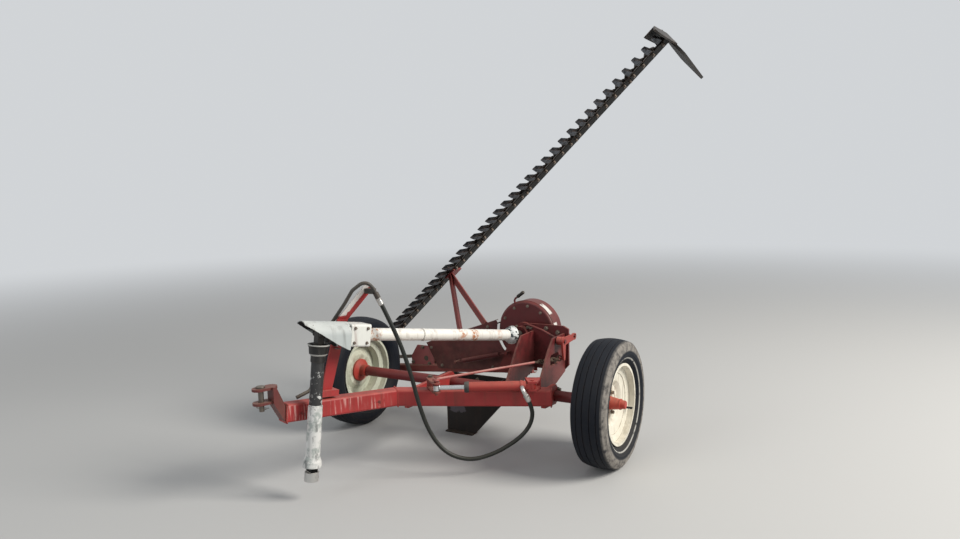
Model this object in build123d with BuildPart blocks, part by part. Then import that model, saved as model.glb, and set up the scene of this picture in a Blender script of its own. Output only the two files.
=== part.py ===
# Trailing sickle bar mower, its cutter bar folded up over the frame as it parks.
# Millimetres. Origin on the ground under the middle of the axle, +X to the machine's right,
# +Y forwards along its travel, +Z up.
import os
from math import cos, radians, sin, tan

from build123d import *

os.makedirs("parts", exist_ok=True)

# Wheels and axle
TYRE_RADIUS = 340
TYRE_WIDTH = 185
# From the tread down to the tyre's widest place
WALL_HEIGHT = 74
TRACK = 1680
RIM_RADIUS = 210
RIM_WIDTH = 140
RIM_WALL = 4
WELL_RADIUS = 166
DISC_WALL = 5
HUB_BARREL_RADIUS = 36
HUB_FLANGE_RADIUS = 70
HUB_FLANGE_WALL = 12
HUB_CAP_LENGTH = 30
AXLE_TUBE_RADIUS = 30
AXLE_WALL = 6
SPINDLE_RADIUS = 16
SPINDLE_FIT = 0.05
WHEEL_GAP = 6
# Longer than any piece, for cuts that run right through
FAR = 1000

# Frame: a rectangular tube, bent once into beam and tongue
BEAM_LEFT = Vector(-560, 120, 370)
BEAM_BEND = Vector(200, 470, 370)
HITCH_REACH = 1195
TONGUE_FRONT = Vector(400, HITCH_REACH - 95, 435)
FRAME_HEIGHT = 90
FRAME_WIDTH = 76
FRAME_WALL = 6
SEAT = 0.3
BRACKET_WALL = 12
BRACKET_REACH = 16
BRACKET_RISE = 62

# Drop plate, its outline from the left across, and its heights from the axle's
PLATE_Y = -100
PLATE_THICK = 10
PLATE_FOOT = 64
PLATE_LEFT = -190
PLATE_RIGHT = 242
PLATE_TOE = 52
PLATE_RISE = 32
PLATE_LEFT_DROP = 78
PLATE_EARS = (-170, 226)
EAR_LIP = 8

# Hitch
HITCH_PIN = Vector(TONGUE_FRONT.X + 44, HITCH_REACH, TONGUE_FRONT.Z + 100)
HITCH_PLATE = 12
HITCH_GAP = 56
HITCH_PLATE_WIDTH = 64
HITCH_BORE = 13.5
PIN_RADIUS = 13
PIN_HEAD_RADIUS = 21.5
PIN_HEAD_WALL = 9
PIN_SHOULDER = 6
PIN_END_RADIUS = 12
PIN_END_LENGTH = 27

# Power take-off line
# Here and below, a distance called front or back is measured backwards from the axle
DRIVE_X = -170
DRIVE_Z = 600
PTO_BOX = Vector(187, 800, 778)
GUARD_TUBE_RADIUS = 32
GUARD_TUBE_WALL = 2.5
SHAFT_RADIUS = 18
BOX_SIZE = 112
BOX_WALL = 4
DRIVE_JOINT = Vector(DRIVE_X, -250, DRIVE_Z)
JOINT_REACH = 200
HALF_SHAFT_FOOT = Vector(283, 1060, 100)
JOINT_BOSS_RADIUS = 24
JOINT_PIN_RADIUS = 11
HALF_TUBE_RADIUS = 31
YOKE_RADIUS = 34
YOKE_BORE = 17.5
BALL_RADIUS = 54
BALL_WALL = 3
HOOD_WIDTH = 118
HOOD_DROP = 70
HOOD_WALL = 3
HOOD_LENGTH = 245
EAR_GAP = 26
EAR_WALL = 12
# Along the front joint's axes, from its pivot
FORK_BACK = 52
TUBE_START = 104
BELL_LENGTH = 120
END_JOINT = 78
END_YOKE_LENGTH = 44

# Post
BALL_REACH = 38
PTO_BALL = DRIVE_JOINT + (PTO_BOX - DRIVE_JOINT).normalized() * BALL_REACH
POST_FOOT = Vector(330, 885, 470)
POST_KNEE = Vector(266, 800, 850)
POST_TOP = Vector(150, 722, 1012)
POST_WIDTH = 60
POST_WALL = 10
POST_LAP = 5
# From the bearing box's middle across to the block's end in the post
POST_BLOCK_END = 76.3
FOOT_SINK = 30

# Belt drive
STAND_FRONT = 320
STAND_WALL = 14
STAND_DROP = 205
CHAIN_WINDOW = (118, 64, 20)
CHAIN_WINDOW_CENTRE = (-171, 500)
CARRIER_FRONT = 340
CARRIER_WALL = 16
SHEET_FRONT = CARRIER_FRONT + CARRIER_WALL
COLLAR_RADIUS = 62
STAND_ARMS = (-444, -244)
COVER_FRONT = 366
COVER_DEPTH = 120
COVER_RADIUS = 186
COVER_WALL = 3
PULLEY_FRONT = 430
PULLEY_RADIUS = 100
PULLEY_WIDTH = 46
LOWER_PULLEY_X = 585
LOWER_PULLEY_Z = 355
LOWER_PULLEY_RADIUS = 55
DRIVE_SHAFT_RADIUS = 17
BEARING_RADIUS = 34
BELT_WALL = 8
BELT_WIDTH = 12
BELT_GAP = 0.3
BELT_PITCH = 14
CRANK_THROW = 38.1
CRANK_PIN_RADIUS = 11
CRANK_WALL = 14
LOWER_SHAFT_REACH = 45

# Carrier of the cutter bar, swinging about the drive's axis, with the fold pin at its right end
FOLD_X = 1155
FOLD_Z = 272
ARM_Y = -400
ARM_SIZE = 50
ARM_WALL = 5
ARM_LEFT = Vector(-215, ARM_Y, 366)
ARM_RIGHT = Vector(FOLD_X - 50, ARM_Y, FOLD_Z - 35)
SHEET_WALL = 4
SHEET_DEPTH = 120
# Upper edge of the sheet guard, in points of (x, z), where it is flanged back
FLANGE_LEFT = (80, 640)
FLANGE_RIGHT = (560, 470)
LUG_REACH = 290
LUG_PIN_RADIUS = 7
YOKE_X = FOLD_X - 65
YOKE_FRONT = 375
YOKE_BACK = 662
YOKE_HALF = 26
YOKE_BOTTOM = 190
YOKE_EARS = (440, 640)
SHOE_EARS = (464, 616)
EAR_THICK = 22
EAR_SIDE_GAP = 2
REST_X = 923
REST_FEET = (Vector(300, -400, 550), Vector(110, -400, 620))
SPRING_LEFT = Vector(-70, -300, 470)
SPRING_RIGHT = Vector(304, -300, 374)
SPRING_RADIUS = 16
SPRING_STUD_RADIUS = 8

# Cutter bar, given along its own line from the fold pin
FOLD_ANGLE = 137
TIP_Y = -410
PRONG_REACH = 140
BAR_WIDTH = 88
BAR_WALL = 12
GUARD_PITCH = 76.2
GUARD_COUNT = 36
FIRST_GUARD = 219
BAR_FRONT = TIP_Y - PRONG_REACH
BAR_BACK = BAR_FRONT - BAR_WIDTH
KNIFE_Z = -20
KNIFE_WALL = 3
KNIFE_REST_GAP = 0.3
RUN_GAP = 6
KNIFE_START = 56
KNIFE_END_GAP = 90
KNIFE_BACK_WIDTH = 18
KNIFE_BACK_WALL = 6
CLIP_EVERY = 6
FOLD_PIN_RADIUS = 14
PIN_FIT = 0.05
PITMAN_BACK = 512
SHOE_START = 50
SHOE_LENGTH = 140
SOLE_BOTTOM = -70
SOLE_WALL = 12
BOARD_LENGTH = 720
BOARD_HEIGHT = 200
BOARD_WALL = 18
BOARD_TOE = -7

# Lift
CYLINDER_BASE = Vector(-500, 218, 448)
ROD_EYE = Vector(-60, 465, 448)
LEVER_PIVOT = Vector(30, 385, 448)
BARREL_RADIUS = 27
BARREL_LENGTH = 300
BARREL_START = 36
ROD_RADIUS = 12
EYE_RADIUS = 20
EYE_HALF = 13
LEVER_WALL = 8
EYE_PIN_RADIUS = 9.5
PULL_ROD_RADIUS = 7
PULL_FRONT = Vector(-60, 465, 494)
ROCKER_AXIS = Vector(-470, -200, 600)
ROCKER_DROP = 100
ROCKER_REACH = 148
ROCKER_PLATE_X = -500
ROCKER_PIN_RADIUS = 12
CHAIN_PIN_RADIUS = 3.5
LINK_COUNT = 8
HOSE_RADIUS = 11
PORT_REACH = 56
# Route of the hose in its own upright plane: run along it, rise above the elbow's mouth
HOSE_POINTS = (
    (0, 0), (-32, -62), (-30, -134), (10, -198), (80, -250), (180, -300), (300, -325), (420, -280), (500, -170),
    (550, -20), (588, 160), (648, 355), (731, 538),
)
LINE_RADIUS = 9
LINE_POINTS = (
    (128, 775, 1048), (180, 815, 1000), (222, 832, 930), (300, 852, 825), (336, 868, 700), (352, 890, 590),
    (372, 945, 505), (400, 1010, 484),
)
LINK_PITCH = 21.6
LINK_WIRE = 6
LINK_INSIDE = 11
LINK_LENGTH_INSIDE = 24
END_LINK_INSIDE = 24
END_LINK_REACH = 4
CHAIN_PIN_LENGTH = 29


def along(start, end):
    """Plane at start whose z runs to end and whose x is level."""
    direction = (end - start).normalized()
    level = direction.cross(Vector(0, 0, 1)).normalized()
    return Plane(origin=start, x_dir=level, z_dir=direction)


def between(start, end, share):
    return start + (end - start) * share


def length_of(start, end):
    return (end - start).length


# Wheels, one pair from one set of sections
for side, hand in ((-1, "left"), (1, "right")):
    # Section plane: x runs outwards along the axle, y up from its centre
    section = Plane(origin=(side * TRACK / 2, 0, TYRE_RADIUS), x_dir=(side, 0, 0), z_dir=(0, -side, 0))
    spin_axis = Axis(section.origin, section.x_dir)

    with BuildPart() as tyre:
        half = TYRE_WIDTH / 2
        bead = RIM_WIDTH / 2 - 2 * RIM_WALL
        bead_radius = RIM_RADIUS - 4
        flange_clear = RIM_RADIUS + 10
        shoulder = TYRE_RADIUS - 11
        wall = 12
        with BuildSketch(section):
            with BuildLine():
                Line((bead, bead_radius), (bead, flange_clear))
                widest = TYRE_RADIUS - WALL_HEIGHT
                outer_right = ThreePointArc((bead, flange_clear), (half, widest), (half - 14, shoulder))
                outer_top = ThreePointArc(outer_right @ 1, (0, TYRE_RADIUS), (14 - half, shoulder))
                ThreePointArc(outer_top @ 1, (-half, widest), (-bead, flange_clear))
                Polyline(
                    (-bead, flange_clear), (-bead, bead_radius), (wall - bead, bead_radius),
                    (wall - bead, flange_clear),
                )
                inner_left = ThreePointArc(
                    (wall - bead, flange_clear), (wall - half, widest), (26 - half, shoulder - wall)
                )
                inner_top = ThreePointArc(inner_left @ 1, (0, TYRE_RADIUS - wall), (half - 26, shoulder - wall))
                ThreePointArc(inner_top @ 1, (half - wall, widest), (bead - wall, flange_clear))
                Polyline((bead - wall, flange_clear), (bead - wall, bead_radius), (bead, bead_radius))
            make_face()
        revolve(axis=spin_axis)
    tyre.part.label = f"{hand}_tyre"

    with BuildPart() as rim:
        edge = RIM_WIDTH / 2
        seat = bead_radius - SEAT
        with BuildSketch(section):
            # Rim: flanges, bead seats and drop centre, in points of (across, radius)
            with BuildLine():
                Polyline(
                    (-edge, RIM_RADIUS + 6), (RIM_WALL - edge, RIM_RADIUS + 6), (RIM_WALL - edge, seat),
                    (-34, seat - 3), (-27, WELL_RADIUS), (27, WELL_RADIUS), (34, seat - 3),
                    (edge - RIM_WALL, seat), (edge - RIM_WALL, RIM_RADIUS + 6), (edge, RIM_RADIUS + 6),
                    (edge, seat - RIM_WALL), (38, seat - 3 - RIM_WALL), (31, WELL_RADIUS - RIM_WALL),
                    (-31, WELL_RADIUS - RIM_WALL), (-38, seat - 3 - RIM_WALL), (-edge, seat - RIM_WALL),
                    close=True,
                )
            make_face()
        revolve(axis=spin_axis)
        with BuildSketch(section):
            # Disc: dished out from the well to the hub's flange
            with BuildLine():
                Polyline(
                    (28, WELL_RADIUS - RIM_WALL), (22, 120), (4, 96), (4, HUB_BARREL_RADIUS + SEAT),
                    (4 - DISC_WALL, HUB_BARREL_RADIUS + SEAT), (4 - DISC_WALL, 98), (16, 122),
                    (22, WELL_RADIUS - RIM_WALL), close=True,
                )
            make_face()
        revolve(axis=spin_axis)
    rim.part.label = f"{hand}_rim"

    with BuildPart() as hub:
        flange_face = 4 - DISC_WALL - SEAT
        with BuildSketch(section):
            with BuildLine():
                Polyline(
                    (-64, 0), (-64, HUB_BARREL_RADIUS), (flange_face - HUB_FLANGE_WALL - 14, HUB_BARREL_RADIUS),
                    (flange_face - HUB_FLANGE_WALL, HUB_FLANGE_RADIUS), (flange_face, HUB_FLANGE_RADIUS),
                    (flange_face, HUB_BARREL_RADIUS), (58, HUB_BARREL_RADIUS - 9), (60, 22),
                    (60 + HUB_CAP_LENGTH, 20), (60 + HUB_CAP_LENGTH, 0), close=True,
                )
            make_face()
        revolve(axis=spin_axis)
        # Bore for the spindle, closed by the cap
        with BuildSketch(section):
            with Locations((-10, 0)):
                Rectangle(120, SPINDLE_RADIUS + SPINDLE_FIT, align=(Align.CENTER, Align.MIN))
        revolve(axis=spin_axis, mode=Mode.SUBTRACT)
    hub.part.label = f"{hand}_hub"

    export_step(tyre.part, f"parts/{hand}_tyre.step")
    export_step(rim.part, f"parts/{hand}_rim.step")
    export_step(hub.part, f"parts/{hand}_hub.step")


# Axle: a tube between the wheels with a spindle into each hub
with BuildPart() as axle:
    axle_plane = Plane(origin=(0, 0, TYRE_RADIUS), x_dir=(0, 1, 0), z_dir=(1, 0, 0))
    tube_half = TRACK / 2 - 64 - WHEEL_GAP
    with BuildSketch(axle_plane):
        Circle(AXLE_TUBE_RADIUS)
        Circle(AXLE_TUBE_RADIUS - AXLE_WALL, mode=Mode.SUBTRACT)
    extrude(amount=tube_half, both=True)
    for side in (-1, 1):
        end_plane = Plane(origin=(side * tube_half, 0, TYRE_RADIUS), x_dir=(0, 1, 0), z_dir=(side, 0, 0))
        with BuildSketch(end_plane.offset(-20)):
            Circle(AXLE_TUBE_RADIUS)
        extrude(amount=20)
        with BuildSketch(end_plane):
            Circle(SPINDLE_RADIUS)
        extrude(amount=WHEEL_GAP + 64 + 45)
axle.part.label = "axle"
export_step(axle.part, "parts/axle.step")


def tube_section(width, height, wall):
    """Rounded rectangular tube section in the sketch that is open."""
    RectangleRounded(width, height, 2 * wall)
    RectangleRounded(width - 2 * wall, height - 2 * wall, wall, mode=Mode.SUBTRACT)


# Beam and tongue, mitred at the bend
beam_plane = along(BEAM_LEFT, BEAM_BEND)
tongue_plane = along(BEAM_BEND, TONGUE_FRONT)
miter_plane = Plane(origin=BEAM_BEND, z_dir=beam_plane.z_dir + tongue_plane.z_dir)
with BuildPart() as main_frame:
    with BuildSketch(beam_plane):
        tube_section(FRAME_WIDTH, FRAME_HEIGHT, FRAME_WALL)
    extrude(amount=length_of(BEAM_LEFT, BEAM_BEND) + FRAME_WIDTH)
    split(bisect_by=miter_plane, keep=Keep.BOTTOM)
    with BuildSketch(tongue_plane.offset(-FRAME_WIDTH)):
        tube_section(FRAME_WIDTH, FRAME_HEIGHT, FRAME_WALL)
    tongue = extrude(amount=FRAME_WIDTH + length_of(BEAM_BEND, TONGUE_FRONT), mode=Mode.PRIVATE)
    add(split(tongue, bisect_by=miter_plane, keep=Keep.TOP, mode=Mode.PRIVATE))
    # End plates weld the tube shut
    with BuildSketch(beam_plane.offset(-FRAME_WALL)):
        RectangleRounded(FRAME_WIDTH, FRAME_HEIGHT, 2 * FRAME_WALL)
    extrude(amount=FRAME_WALL)
    with BuildSketch(tongue_plane.offset(length_of(BEAM_BEND, TONGUE_FRONT))):
        RectangleRounded(FRAME_WIDTH, FRAME_HEIGHT, 2 * FRAME_WALL)
    extrude(amount=FRAME_WALL)
main_frame.part.label = "main_frame"
export_step(main_frame.part, "parts/main_frame.step")

# Brackets that clamp the beam to the axle: one at its left end, one at its bend
for name, bracket_x in (("left_axle_bracket", -520), ("right_axle_bracket", 150)):
    with BuildPart() as bracket:
        share = (bracket_x - BEAM_LEFT.X) / (BEAM_BEND.X - BEAM_LEFT.X)
        beam_y = between(BEAM_LEFT, BEAM_BEND, share).Y
        with BuildSketch(Plane.YZ.offset(bracket_x)):
            with BuildLine():
                Polyline(
                    (-AXLE_TUBE_RADIUS - BRACKET_REACH, TYRE_RADIUS - 22),
                    (-AXLE_TUBE_RADIUS - BRACKET_REACH, TYRE_RADIUS + 22),
                    (-10, TYRE_RADIUS + BRACKET_RISE), (beam_y, TYRE_RADIUS + BRACKET_RISE),
                    (beam_y, TYRE_RADIUS - 34), (0, TYRE_RADIUS - AXLE_TUBE_RADIUS - BRACKET_REACH), close=True,
                )
            make_face()
        extrude(amount=BRACKET_WALL, both=True)
        with BuildSketch(axle_plane):
            Circle(AXLE_TUBE_RADIUS + SEAT)
        extrude(amount=TRACK / 2, both=True, mode=Mode.SUBTRACT)
        with BuildSketch(beam_plane.offset(-2 * FRAME_WALL)):
            RectangleRounded(FRAME_WIDTH + 2 * SEAT, FRAME_HEIGHT + 2 * SEAT, 2 * FRAME_WALL)
        extrude(amount=2 * TRACK, mode=Mode.SUBTRACT)
        # What is left behind the beam stays, and the offcut in front of it goes
        add(bracket.solids().sort_by(Axis.Y)[0], mode=Mode.REPLACE)
    bracket.part.label = name
    export_step(bracket.part, f"parts/{name}.step")

# Black plate that hangs from the axle to the ground and holds the tail up as the machine parks
plate_top = TYRE_RADIUS + PLATE_RISE
with BuildPart() as drop_plate:
    with BuildSketch(Plane.XZ.offset(-PLATE_Y)):
        with BuildLine():
            Polyline(
                (PLATE_LEFT, plate_top), (PLATE_RIGHT, plate_top), (PLATE_RIGHT, 0), (PLATE_TOE, 0),
                (PLATE_LEFT, TYRE_RADIUS - PLATE_LEFT_DROP), close=True,
            )
        make_face()
    extrude(amount=PLATE_THICK / 2, both=True)
    # Ears forward to the axle
    for ear_x in PLATE_EARS:
        with BuildSketch(Plane.YZ.offset(ear_x)):
            with BuildLine():
                Polyline(
                    (PLATE_Y, TYRE_RADIUS - 40), (PLATE_Y, plate_top), (AXLE_TUBE_RADIUS + EAR_LIP, plate_top),
                    (AXLE_TUBE_RADIUS + EAR_LIP, TYRE_RADIUS - 10), (0, TYRE_RADIUS - 40), close=True,
                )
            make_face()
        extrude(amount=6, both=True)
    with BuildSketch(axle_plane):
        Circle(AXLE_TUBE_RADIUS)
    extrude(amount=TRACK / 2, both=True, mode=Mode.SUBTRACT)
    with Locations(((PLATE_TOE + PLATE_RIGHT) / 2, PLATE_Y, 0)):
        Box(PLATE_RIGHT - PLATE_TOE, PLATE_FOOT, 8, align=(Align.CENTER, Align.CENTER, Align.MIN))
drop_plate.part.label = "drop_plate"
export_step(drop_plate.part, "parts/drop_plate.step")

# Hitch: two plates bent up from the tongue's sides, with a drawbar pin through their ends
hitch_heading = (TONGUE_FRONT - BEAM_BEND).normalized()
level_heading = Vector(hitch_heading.X, hitch_heading.Y, 0).normalized()
hitch_side = Vector(level_heading.Y, -level_heading.X, 0)
pin_gap = HITCH_GAP / 2
with BuildPart() as hitch_clevis:
    # A strap from the tongue's end rises to the clevis, where two plates hold the pin
    strap_plane = Plane(origin=TONGUE_FRONT, x_dir=level_heading, z_dir=hitch_side)
    reach = (HITCH_PIN - TONGUE_FRONT).dot(level_heading)
    rise = HITCH_PIN.Z - TONGUE_FRONT.Z
    for level in (rise + pin_gap, rise - pin_gap - HITCH_PLATE):
        with BuildSketch(Plane(origin=(HITCH_PIN.X, HITCH_PIN.Y, TONGUE_FRONT.Z + level), x_dir=level_heading)):
            with Locations((-20, 0)):
                SlotCenterToCenter(60, HITCH_PLATE_WIDTH)
        extrude(amount=HITCH_PLATE)
    with BuildSketch(strap_plane):
        with BuildLine():
            Polyline(
                (FRAME_WALL + SEAT, -FRAME_HEIGHT / 2), (FRAME_WALL + SEAT, FRAME_HEIGHT / 2),
                (reach - 58, rise + pin_gap + HITCH_PLATE), (reach - 42, rise + pin_gap + HITCH_PLATE),
                (reach - 42, rise - pin_gap - HITCH_PLATE), close=True,
            )
        make_face()
    extrude(amount=HITCH_PLATE_WIDTH / 2, both=True)
    with BuildSketch(Plane(origin=HITCH_PIN, x_dir=level_heading)):
        Circle(HITCH_BORE)
    extrude(amount=100, both=True, mode=Mode.SUBTRACT)
    with BuildSketch(tongue_plane):
        Rectangle(2 * FRAME_WIDTH, 2 * FRAME_HEIGHT)
    extrude(amount=length_of(BEAM_BEND, TONGUE_FRONT) + FRAME_WALL + SEAT, mode=Mode.SUBTRACT)
hitch_clevis.part.label = "hitch_clevis"
export_step(hitch_clevis.part, "parts/hitch_clevis.step")

# Drawbar pin, its lower end turned down for the clip, in points of (radius, height)
pin_half = pin_gap + HITCH_PLATE
with BuildPart() as hitch_pin:
    with BuildSketch(Plane(origin=HITCH_PIN, x_dir=level_heading, z_dir=hitch_side)):
        with BuildLine():
            Polyline(
                (0, pin_half + PIN_HEAD_WALL), (PIN_HEAD_RADIUS, pin_half + PIN_HEAD_WALL),
                (PIN_HEAD_RADIUS, pin_half), (PIN_RADIUS, pin_half), (PIN_RADIUS, -pin_half - PIN_SHOULDER),
                (PIN_END_RADIUS, -pin_half - PIN_SHOULDER - 1),
                (PIN_END_RADIUS, -pin_half - PIN_SHOULDER - 1 - PIN_END_LENGTH),
                (0, -pin_half - PIN_SHOULDER - 1 - PIN_END_LENGTH), close=True,
            )
        make_face()
    revolve(axis=Axis(HITCH_PIN, (0, 0, 1)))
    fillet(hitch_pin.faces().sort_by(Axis.Z)[-1].edges(), radius=3)
hitch_pin.part.label = "hitch_pin"
export_step(hitch_pin.part, "parts/hitch_pin.step")

# Post on the tongue, leaning back and to the left, that carries the front of the drive line
heading = Vector(PTO_BOX.X - PTO_BALL.X, PTO_BOX.Y - PTO_BALL.Y, 0).normalized()
beside = heading.cross(Vector(0, 0, 1))
with BuildPart() as pto_post:
    for foot, head in ((POST_FOOT, POST_KNEE), (POST_KNEE, POST_TOP)):
        lean = (head - foot).normalized()
        with BuildSketch(Plane(origin=foot - lean * POST_LAP, x_dir=heading, z_dir=lean)):
            Rectangle(POST_WIDTH, POST_WALL)
        extrude(amount=(head - foot).length + 2 * POST_LAP)
    # Block between the post and the bearing box
    with BuildSketch(Plane(origin=PTO_BOX + beside * (BOX_SIZE / 2 + SEAT), x_dir=heading, z_dir=beside)):
        Rectangle(56, 90)
    extrude(amount=POST_BLOCK_END - BOX_SIZE / 2 - SEAT)
    # Foot plate on the tongue's top
    foot_base = POST_FOOT - tongue_plane.y_dir * FOOT_SINK
    with BuildSketch(Plane(origin=foot_base, x_dir=tongue_plane.x_dir, z_dir=tongue_plane.y_dir)):
        Rectangle(FRAME_WIDTH - 6, 120)
    extrude(amount=FOOT_SINK)
    with BuildSketch(tongue_plane.offset(-FRAME_WIDTH)):
        RectangleRounded(FRAME_WIDTH + 2 * SEAT, FRAME_HEIGHT + 2 * SEAT, 2 * FRAME_WALL)
    extrude(amount=2 * FRAME_WIDTH + length_of(BEAM_BEND, TONGUE_FRONT), mode=Mode.SUBTRACT)
pto_post.part.label = "pto_post"
export_step(pto_post.part, "parts/pto_post.step")

# Drive line: guard tube, its ball shield and the shaft that shows at its rear
pto_plane = along(PTO_BOX, PTO_BALL)
pto_run = length_of(PTO_BOX, PTO_BALL)
with BuildPart() as pto_guard_tube:
    with BuildSketch(pto_plane.offset(BOX_SIZE / 2)):
        Circle(GUARD_TUBE_RADIUS)
        Circle(GUARD_TUBE_RADIUS - GUARD_TUBE_WALL, mode=Mode.SUBTRACT)
    extrude(amount=pto_run - BOX_SIZE / 2)
    # Seam ring where the two guard tubes telescope
    with BuildSketch(pto_plane.offset(0.38 * pto_run)):
        Circle(GUARD_TUBE_RADIUS + 2.5)
        Circle(GUARD_TUBE_RADIUS - GUARD_TUBE_WALL, mode=Mode.SUBTRACT)
    extrude(amount=12)
pto_guard_tube.part.label = "pto_guard_tube"
export_step(pto_guard_tube.part, "parts/pto_guard_tube.step")

with BuildPart() as pto_ball_shield:
    ball_plane = Plane(origin=PTO_BALL, x_dir=pto_plane.z_dir, z_dir=pto_plane.x_dir)
    with BuildSketch(ball_plane):
        Circle(BALL_RADIUS)
        Circle(BALL_RADIUS - BALL_WALL, mode=Mode.SUBTRACT)
        # The mouth faces back, and the other half of the ring is left for the revolve
        Rectangle(60, 4 * BALL_RADIUS, align=(Align.MIN, Align.CENTER), mode=Mode.SUBTRACT)
        with Locations((26, 0)):
            Rectangle(60, 4 * BALL_RADIUS, align=(Align.MIN, Align.CENTER), mode=Mode.SUBTRACT)
        Rectangle(4 * BALL_RADIUS, 2 * BALL_RADIUS, align=(Align.CENTER, Align.MAX), mode=Mode.SUBTRACT)
        Rectangle(4 * BALL_RADIUS, GUARD_TUBE_RADIUS + SEAT, align=(Align.CENTER, Align.MIN), mode=Mode.SUBTRACT)
    revolve(axis=Axis(PTO_BALL, pto_plane.z_dir))
pto_ball_shield.part.label = "pto_ball_shield"
export_step(pto_ball_shield.part, "parts/pto_ball_shield.step")


# Bearing box of the drive line on the post's left, its hood, and the front joint's fixed half
pto_front = Plane(origin=PTO_BOX, x_dir=pto_plane.x_dir, z_dir=-pto_plane.z_dir)
joint_pivot = PTO_BOX + pto_front.z_dir * JOINT_REACH
with BuildPart() as pto_bearing_box:
    with BuildSketch(pto_front.offset(-BOX_SIZE / 2)):
        RectangleRounded(BOX_SIZE, BOX_SIZE, 3 * BOX_WALL)
        Circle(GUARD_TUBE_RADIUS + SEAT, mode=Mode.SUBTRACT)
    extrude(amount=BOX_WALL)
    with BuildSketch(pto_front.offset(BOX_WALL - BOX_SIZE / 2)):
        RectangleRounded(BOX_SIZE, BOX_SIZE, 3 * BOX_WALL)
        RectangleRounded(BOX_SIZE - 2 * BOX_WALL, BOX_SIZE - 2 * BOX_WALL, 2 * BOX_WALL, mode=Mode.SUBTRACT)
    extrude(amount=BOX_SIZE - 2 * BOX_WALL)
    with BuildSketch(pto_front.offset(BOX_SIZE / 2 - BOX_WALL)):
        RectangleRounded(BOX_SIZE, BOX_SIZE, 3 * BOX_WALL)
        Circle(SHAFT_RADIUS + 1, mode=Mode.SUBTRACT)
    extrude(amount=BOX_WALL)
pto_bearing_box.part.label = "pto_bearing_box"
export_step(pto_bearing_box.part, "parts/pto_bearing_box.step")

with BuildPart() as pto_hood:
    # A tunnel guard, open below and in front, over the front joint
    with BuildSketch(pto_front.offset(BOX_SIZE / 2 + SEAT)):
        with BuildLine():
            Line((-HOOD_WIDTH / 2, -HOOD_DROP), (-HOOD_WIDTH / 2, 0))
            ThreePointArc((-HOOD_WIDTH / 2, 0), (0, HOOD_WIDTH / 2), (HOOD_WIDTH / 2, 0))
            Line((HOOD_WIDTH / 2, 0), (HOOD_WIDTH / 2, -HOOD_DROP))
            offset(amount=HOOD_WALL, side=Side.LEFT)
        make_face()
    extrude(amount=HOOD_LENGTH)
pto_hood.part.label = "pto_hood"
export_step(pto_hood.part, "parts/pto_hood.step")

# Fork of the front joint: its ears take the cross's pins on both sides of the pivot
fork_axis = pto_front.x_dir
with BuildPart() as pto_front_fork:
    with BuildSketch(pto_front.offset(BOX_SIZE / 2 - 26)):
        Circle(SHAFT_RADIUS)
    extrude(amount=JOINT_REACH - BOX_SIZE / 2 + 26 - FORK_BACK)
    with BuildSketch(pto_front.offset(JOINT_REACH - FORK_BACK)):
        Circle(JOINT_BOSS_RADIUS + 14)
    extrude(amount=14)
    for hand_sign in (-1, 1):
        ear_origin = joint_pivot + fork_axis * (hand_sign * EAR_GAP)
        ear_plane = Plane(origin=ear_origin, x_dir=pto_front.z_dir, z_dir=fork_axis * hand_sign)
        with BuildSketch(ear_plane):
            with Locations((-20, 0)):
                SlotCenterToCenter(40, 32)
        extrude(amount=EAR_WALL)
    with BuildSketch(Plane(origin=joint_pivot, x_dir=pto_front.z_dir, z_dir=fork_axis)):
        Circle(JOINT_PIN_RADIUS + PIN_FIT)
    extrude(amount=60, both=True, mode=Mode.SUBTRACT)
pto_front_fork.part.label = "pto_front_fork"
export_step(pto_front_fork.part, "parts/pto_front_fork.step")

# Front half of the drive shaft, hanging from the joint
hang_plane = along(joint_pivot, HALF_SHAFT_FOOT)
hang_plane = Plane(origin=joint_pivot, x_dir=fork_axis, z_dir=hang_plane.z_dir)
hang_length = length_of(joint_pivot, HALF_SHAFT_FOOT)
with BuildPart() as pto_cross:
    # Cross with the hanging half's fork and its boss
    with BuildSketch(Plane(origin=joint_pivot, x_dir=pto_front.z_dir, z_dir=fork_axis)):
        Circle(JOINT_PIN_RADIUS)
    extrude(amount=EAR_GAP + EAR_WALL - 2, both=True)
    with BuildSketch(hang_plane.offset(-16)):
        RectangleRounded(2 * EAR_GAP - 3, 34, 6)
    extrude(amount=60)
    with BuildSketch(hang_plane.offset(44)):
        Circle(JOINT_BOSS_RADIUS)
    extrude(amount=60)
pto_cross.part.label = "pto_cross"
export_step(pto_cross.part, "parts/pto_cross.step")

with BuildPart() as pto_bell:
    # Black bell and collar over the joint, with a pale ring at its mouth
    collar = HALF_TUBE_RADIUS + SEAT
    with BuildSketch(Plane(origin=joint_pivot, x_dir=hang_plane.z_dir, z_dir=hang_plane.x_dir)):
        with BuildLine():
            Polyline(
                (48, 53), (53, 53), (62, 47), (96, 44), (TUBE_START, collar + 4), (TUBE_START + 30, collar + 4),
                (TUBE_START + 30, collar), (TUBE_START, collar), (92, 40), (60, 43), (48, 50), close=True,
            )
        make_face()
    revolve(axis=Axis(joint_pivot, hang_plane.z_dir))
pto_bell.part.label = "pto_bell"
export_step(pto_bell.part, "parts/pto_bell.step")

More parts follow.
